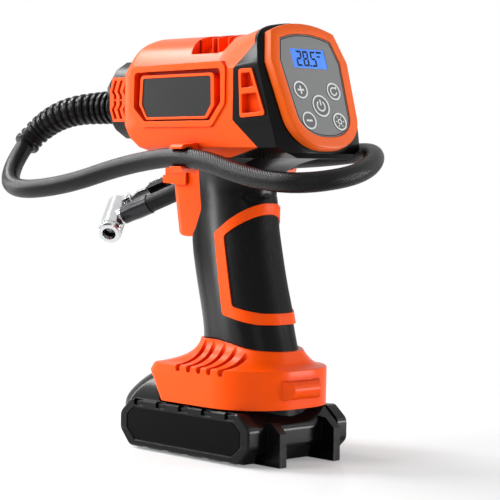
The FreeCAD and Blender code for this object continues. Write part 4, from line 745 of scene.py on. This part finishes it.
def boot_radius(distance):
    """Outside radius of the boot at a distance along the hose, both in millimetres."""
    root, tip = BOOT_RADII
    along = distance - BOOT_START - BOOT_ROOT
    if along < 0:
        return root
    index = int(along / RIB_PITCH)
    if index < BOOT_RIBS:
        share = (index + 0.5) / BOOT_RIBS
        crest = root + (tip - root) * share
        deep = GROOVE_DEPTH - GROOVE_LESSENS * share
        place = (along / RIB_PITCH - index - RIB_MIDDLE) / RIB_HALF
        return crest - deep + (deep + RIB_RISE) * max(0.0, 1 - place ** 4)
    rest = along - BOOT_RIBS * RIB_PITCH
    if rest < NECK_LENGTH:
        return tip - NECK_DROP
    return COLLAR_RADIUS - COLLAR_ROUND * min(1.0, abs(rest - COLLAR_MIDDLE) / COLLAR_HALF) ** 3


# Stage: name, direction from the tool, distance, width, height and radiance of each lamp

LAMPS = (
    ("top_box", (-0.66, -0.13, 0.74), 1.1, 0.38, 0.32, 26.0),
    ("side_box", (-0.90, -0.42, 0.06), 1.1, 0.08, 0.7, 30.0),
    ("slope_box", (-0.78, -0.47, 0.41), 1.1, 0.26, 0.26, 28.0),
    ("key_box", (-0.40, -0.74, 0.54), 1.2, 0.50, 0.50, 9.0),
    ("front_box", (0.72, -0.62, 0.30), 1.5, 0.8, 0.8, 0.9),
    ("panel_box", (0.58, 0.69, 0.44), 1.3, 0.50, 0.50, 2.0),
    ("back_box", (0.74, 0.67, 0.02), 1.3, 0.34, 0.22, 34.0))
LAMP_CENTRE = Vector((0.0, 0.0, 0.13))

FLOOR_HALF = 6.0
FLOOR_Z = -0.0002
# the camera sees the lit floor near the tool and plain white from 0.36 m out
FLOOR_SHRINK = (0.9, 0.9, 0.9)
FLOOR_WHITE = 2.8
FLOOR_SLOPE = 2.65
FLOOR_MIRROR = 0.12

# the camera as fitted to the photo: focal length in pixels of a 500 pixel wide picture,
# its place, and the directions to its right, up and ahead
SENSOR = 36.0
FOCAL_PIXELS = 1827.32
PICTURE_PIXELS = 500.0
EYE = Vector((0.737793, -0.688798, 0.157248))
EYE_RIGHT = Vector((0.6878428, 0.7256999, 0.0152299))
EYE_UP = Vector((-0.0432816, 0.0200611, 0.9988615))
EYE_AHEAD = Vector((-0.7245681, 0.6877188, -0.0452083))


def floor_finish():
    """Pale, faintly glossy floor that turns plain white for the camera away from the tool."""
    f = Finish("studio_floor")
    where = f.place()
    shrunk = f.node("ShaderNodeMapping", None, {"Vector": where, "Scale": FLOOR_SHRINK})
    radial = f.node("ShaderNodeTexGradient", {"gradient_type": "SPHERICAL"}, {"Vector": shrunk})
    tone = f.blend(f.noise(9.0, 2.0, where), colour((0.90, 0.90, 0.902)),
                   colour((0.92, 0.92, 0.922)))
    matt = f.node("ShaderNodeBsdfPrincipled", None, {
        "Base Color": tone, "Roughness": 0.6, "Specular IOR Level": 0.0})
    mirror = f.node("ShaderNodeBsdfAnisotropic", None, {
        "Color": colour((0.9, 0.9, 0.9)), "Roughness": 0.10})
    near = f.node("ShaderNodeMixShader", None, {0: FLOOR_MIRROR, 1: matt, 2: mirror})
    far = f.node("ShaderNodeEmission", None, {"Color": WHITE, "Strength": 1.0})
    rays = f.node("ShaderNodeLightPath", out="Is Camera Ray")
    share = (FLOOR_WHITE - radial * FLOOR_SLOPE).clamp() * rays
    f.end("ShaderNodeOutputMaterial",
          f.node("ShaderNodeMixShader", None, {0: share, 1: near, 2: far}))
    return f.material


def surroundings():
    """World that gives a weak fill light and is seen as white."""
    world = bpy.data.worlds.new("studio")
    world.use_nodes = True
    w = Graph(world.node_tree)
    camera, glossy, through = [w.node("ShaderNodeLightPath", out=f"Is {kind} Ray")
                               for kind in ("Camera", "Glossy", "Transmission")]
    fill = w.node("ShaderNodeBackground", None, {
        "Color": (0.96, 0.98, 1.0, 1.0), "Strength": 0.20})
    seen = w.node("ShaderNodeBackground", None, {"Color": WHITE, "Strength": 1.0})
    w.end("ShaderNodeOutputWorld", w.node("ShaderNodeMixShader", None, {
        0: camera.most(glossy.most(through)), 1: fill, 2: seen}))
    return world


def hang_lamp(name, way, distance, wide, high, radiance):
    """Rectangular lamp that faces the tool."""
    lamp = bpy.data.lights.new(name, "AREA")
    lamp.shape = "RECTANGLE"
    lamp.size = wide
    lamp.size_y = high
    lamp.energy = radiance * math.pi * wide * high
    holder = bpy.data.objects.new(name, lamp)
    bpy.context.scene.collection.objects.link(holder)
    direction = Vector(way).normalized()
    holder.location = LAMP_CENTRE + direction * distance
    holder.rotation_euler = direction.to_track_quat("Z", "Y").to_euler()


def set_camera():
    """Camera at the photo's viewing angle."""
    camera = bpy.data.cameras.new("view")
    camera.sensor_width = SENSOR
    camera.lens = FOCAL_PIXELS * SENSOR / PICTURE_PIXELS
    camera.clip_start = 0.01
    camera.clip_end = 50.0
    holder = bpy.data.objects.new("view", camera)
    bpy.context.scene.collection.objects.link(holder)
    facing = Matrix((EYE_RIGHT, EYE_UP, -EYE_AHEAD)).transposed().to_4x4()
    holder.matrix_world = Matrix.Translation(EYE) @ facing
    bpy.context.scene.camera = holder


# Operators

class INFLATOR_OT_finishes(Operator):
    """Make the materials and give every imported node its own"""
    bl_idname = "inflator.finishes"
    bl_label = "Finishes"

    def execute(self, context):
        make_finishes()
        for key, names in DRESS.items():
            for name in names.split():
                paint(cad[name], key)
        return {"FINISHED"}


class INFLATOR_OT_shells(Operator):
    """Shade the shells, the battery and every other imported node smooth, with sharp edges kept"""
    bl_idname = "inflator.shells"
    bl_label = "Shells and battery"

    def execute(self, context):
        group = smooth_group()
        for piece in cad.values():
            piece.modifiers.new("smooth", "NODES").node_group = group
        return {"FINISHED"}


class INFLATOR_OT_display(Operator):
    """Add the figures of the screen, the line round the panel and the marks of the keys"""
    bl_idname = "inflator.display"
    bl_label = "Display"

    def execute(self, context):
        figures = [outline for value, left in zip(READING, DIGIT_LEFTS)
                   for outline in digit(value, left)]
        figures += [bar(*POINT)] + [bar(*mark) for mark in UNIT_MARKS]
        made = raised("screen_figures", figures, LCD_FACE, 0.04, "segment")
        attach(made, "tool")
        made = raised("panel_line", rim_line(), PANEL_FACE, 0.03, "black_satin")
        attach(made, "tool")
        for name, (y, up, radius) in KEY_SPOTS.items():
            made = raised(name + "_mark", key_marks(name, y, up, radius), KEY_FACE, 0.06, "print")
            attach(made, name)
        return {"FINISHED"}


class INFLATOR_OT_hose(Operator):
    """Lay the braided hose along its route and set the ribbed boot on it"""
    bl_idname = "inflator.hose"
    bl_label = "Hose and boot"

    def execute(self, context):
        sizes = context.scene.inflator_sizes
        radius = sizes.hose_diameter / 2
        at, points, sides, ups = centreline(RING_STEP)
        height = braid(at, HOSE_AROUND, sizes.carriers, 2 * math.pi * radius * BRAID_LEAD)
        radii = radius - BRAID_DEPTH * (1 - height)
        hose = skin("braided_hose", points, sides, ups, radii, "jacket", height)
        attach(hose, "tool")
        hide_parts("hose")
        end = BOOT_START + BOOT_ROOT + BOOT_RIBS * RIB_PITCH + COLLAR_END
        span = np.linspace(BOOT_START, end, BOOT_STATIONS) * MM
        line = [columns(lambda column: np.interp(span, at, column), rows)
                for rows in (points, sides, ups)]
        reach = np.array([boot_radius(distance / MM) for distance in span]) * MM
        boot = skin("ribbed_boot", *line, np.repeat(reach[:, None], BOOT_AROUND, axis=1),
                    "rubber")
        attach(boot, "tool")
        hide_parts("hose_boot")
        path = [tuple(p) for p in points[::6]] + [tuple(points[-1])]
        return {"FINISHED"}


class INFLATOR_OT_stage(Operator):
    """Pale floor, soft lamps, pale surroundings and the camera"""
    bl_idname = "inflator.stage"
    bl_label = "Stage"

    def execute(self, context):
        scene = context.scene
        scene.view_settings.view_transform = "Standard"
        finishes["floor"] = floor_finish()
        mesh = bpy.data.meshes.new("floor")
        corners = [(x * FLOOR_HALF, y * FLOOR_HALF, FLOOR_Z)
                   for x, y in ((-1, -1), (1, -1), (1, 1), (-1, 1))]
        mesh.from_pydata(corners, [], [(0, 1, 2, 3)])
        floor = placed("floor", mesh, "floor")
        scene.world = surroundings()
        for lamp in LAMPS:
            hang_lamp(*lamp)
        set_camera()
        return {"FINISHED"}


operators = (INFLATOR_OT_finishes, INFLATOR_OT_shells, INFLATOR_OT_display, INFLATOR_OT_hose,
             INFLATOR_OT_stage)


class INFLATOR_PT_sidebar(Panel):
    """Sizes, colours and steps of the inflator"""
    bl_label = "Inflator"
    bl_idname = "INFLATOR_PT_sidebar"
    bl_space_type = "VIEW_3D"
    bl_region_type = "UI"
    bl_category = "Inflator"

    def draw(self, context):
        for group in (context.scene.inflator_sizes, context.scene.inflator_colours):
            for name in group.bl_rna.properties.keys():
                if name not in ("rna_type", "name"):
                    self.layout.prop(group, name)
        for operator in operators:
            self.layout.operator(operator.bl_idname)


classes = (InflatorColours, InflatorSizes, *operators, INFLATOR_PT_sidebar)


def register():
    for cls in classes:
        bpy.utils.register_class(cls)
    bpy.types.Scene.inflator_colours = PointerProperty(type=InflatorColours)
    bpy.types.Scene.inflator_sizes = PointerProperty(type=InflatorSizes)


def unregister():
    del bpy.types.Scene.inflator_colours
    del bpy.types.Scene.inflator_sizes
    for cls in reversed(classes):
        bpy.utils.unregister_class(cls)


def main():
    register()
    bpy.ops.inflator.finishes()
    bpy.ops.inflator.shells()
    bpy.ops.inflator.display()
    bpy.ops.inflator.hose()
    bpy.ops.inflator.stage()


if __name__ == "__main__":
    main()
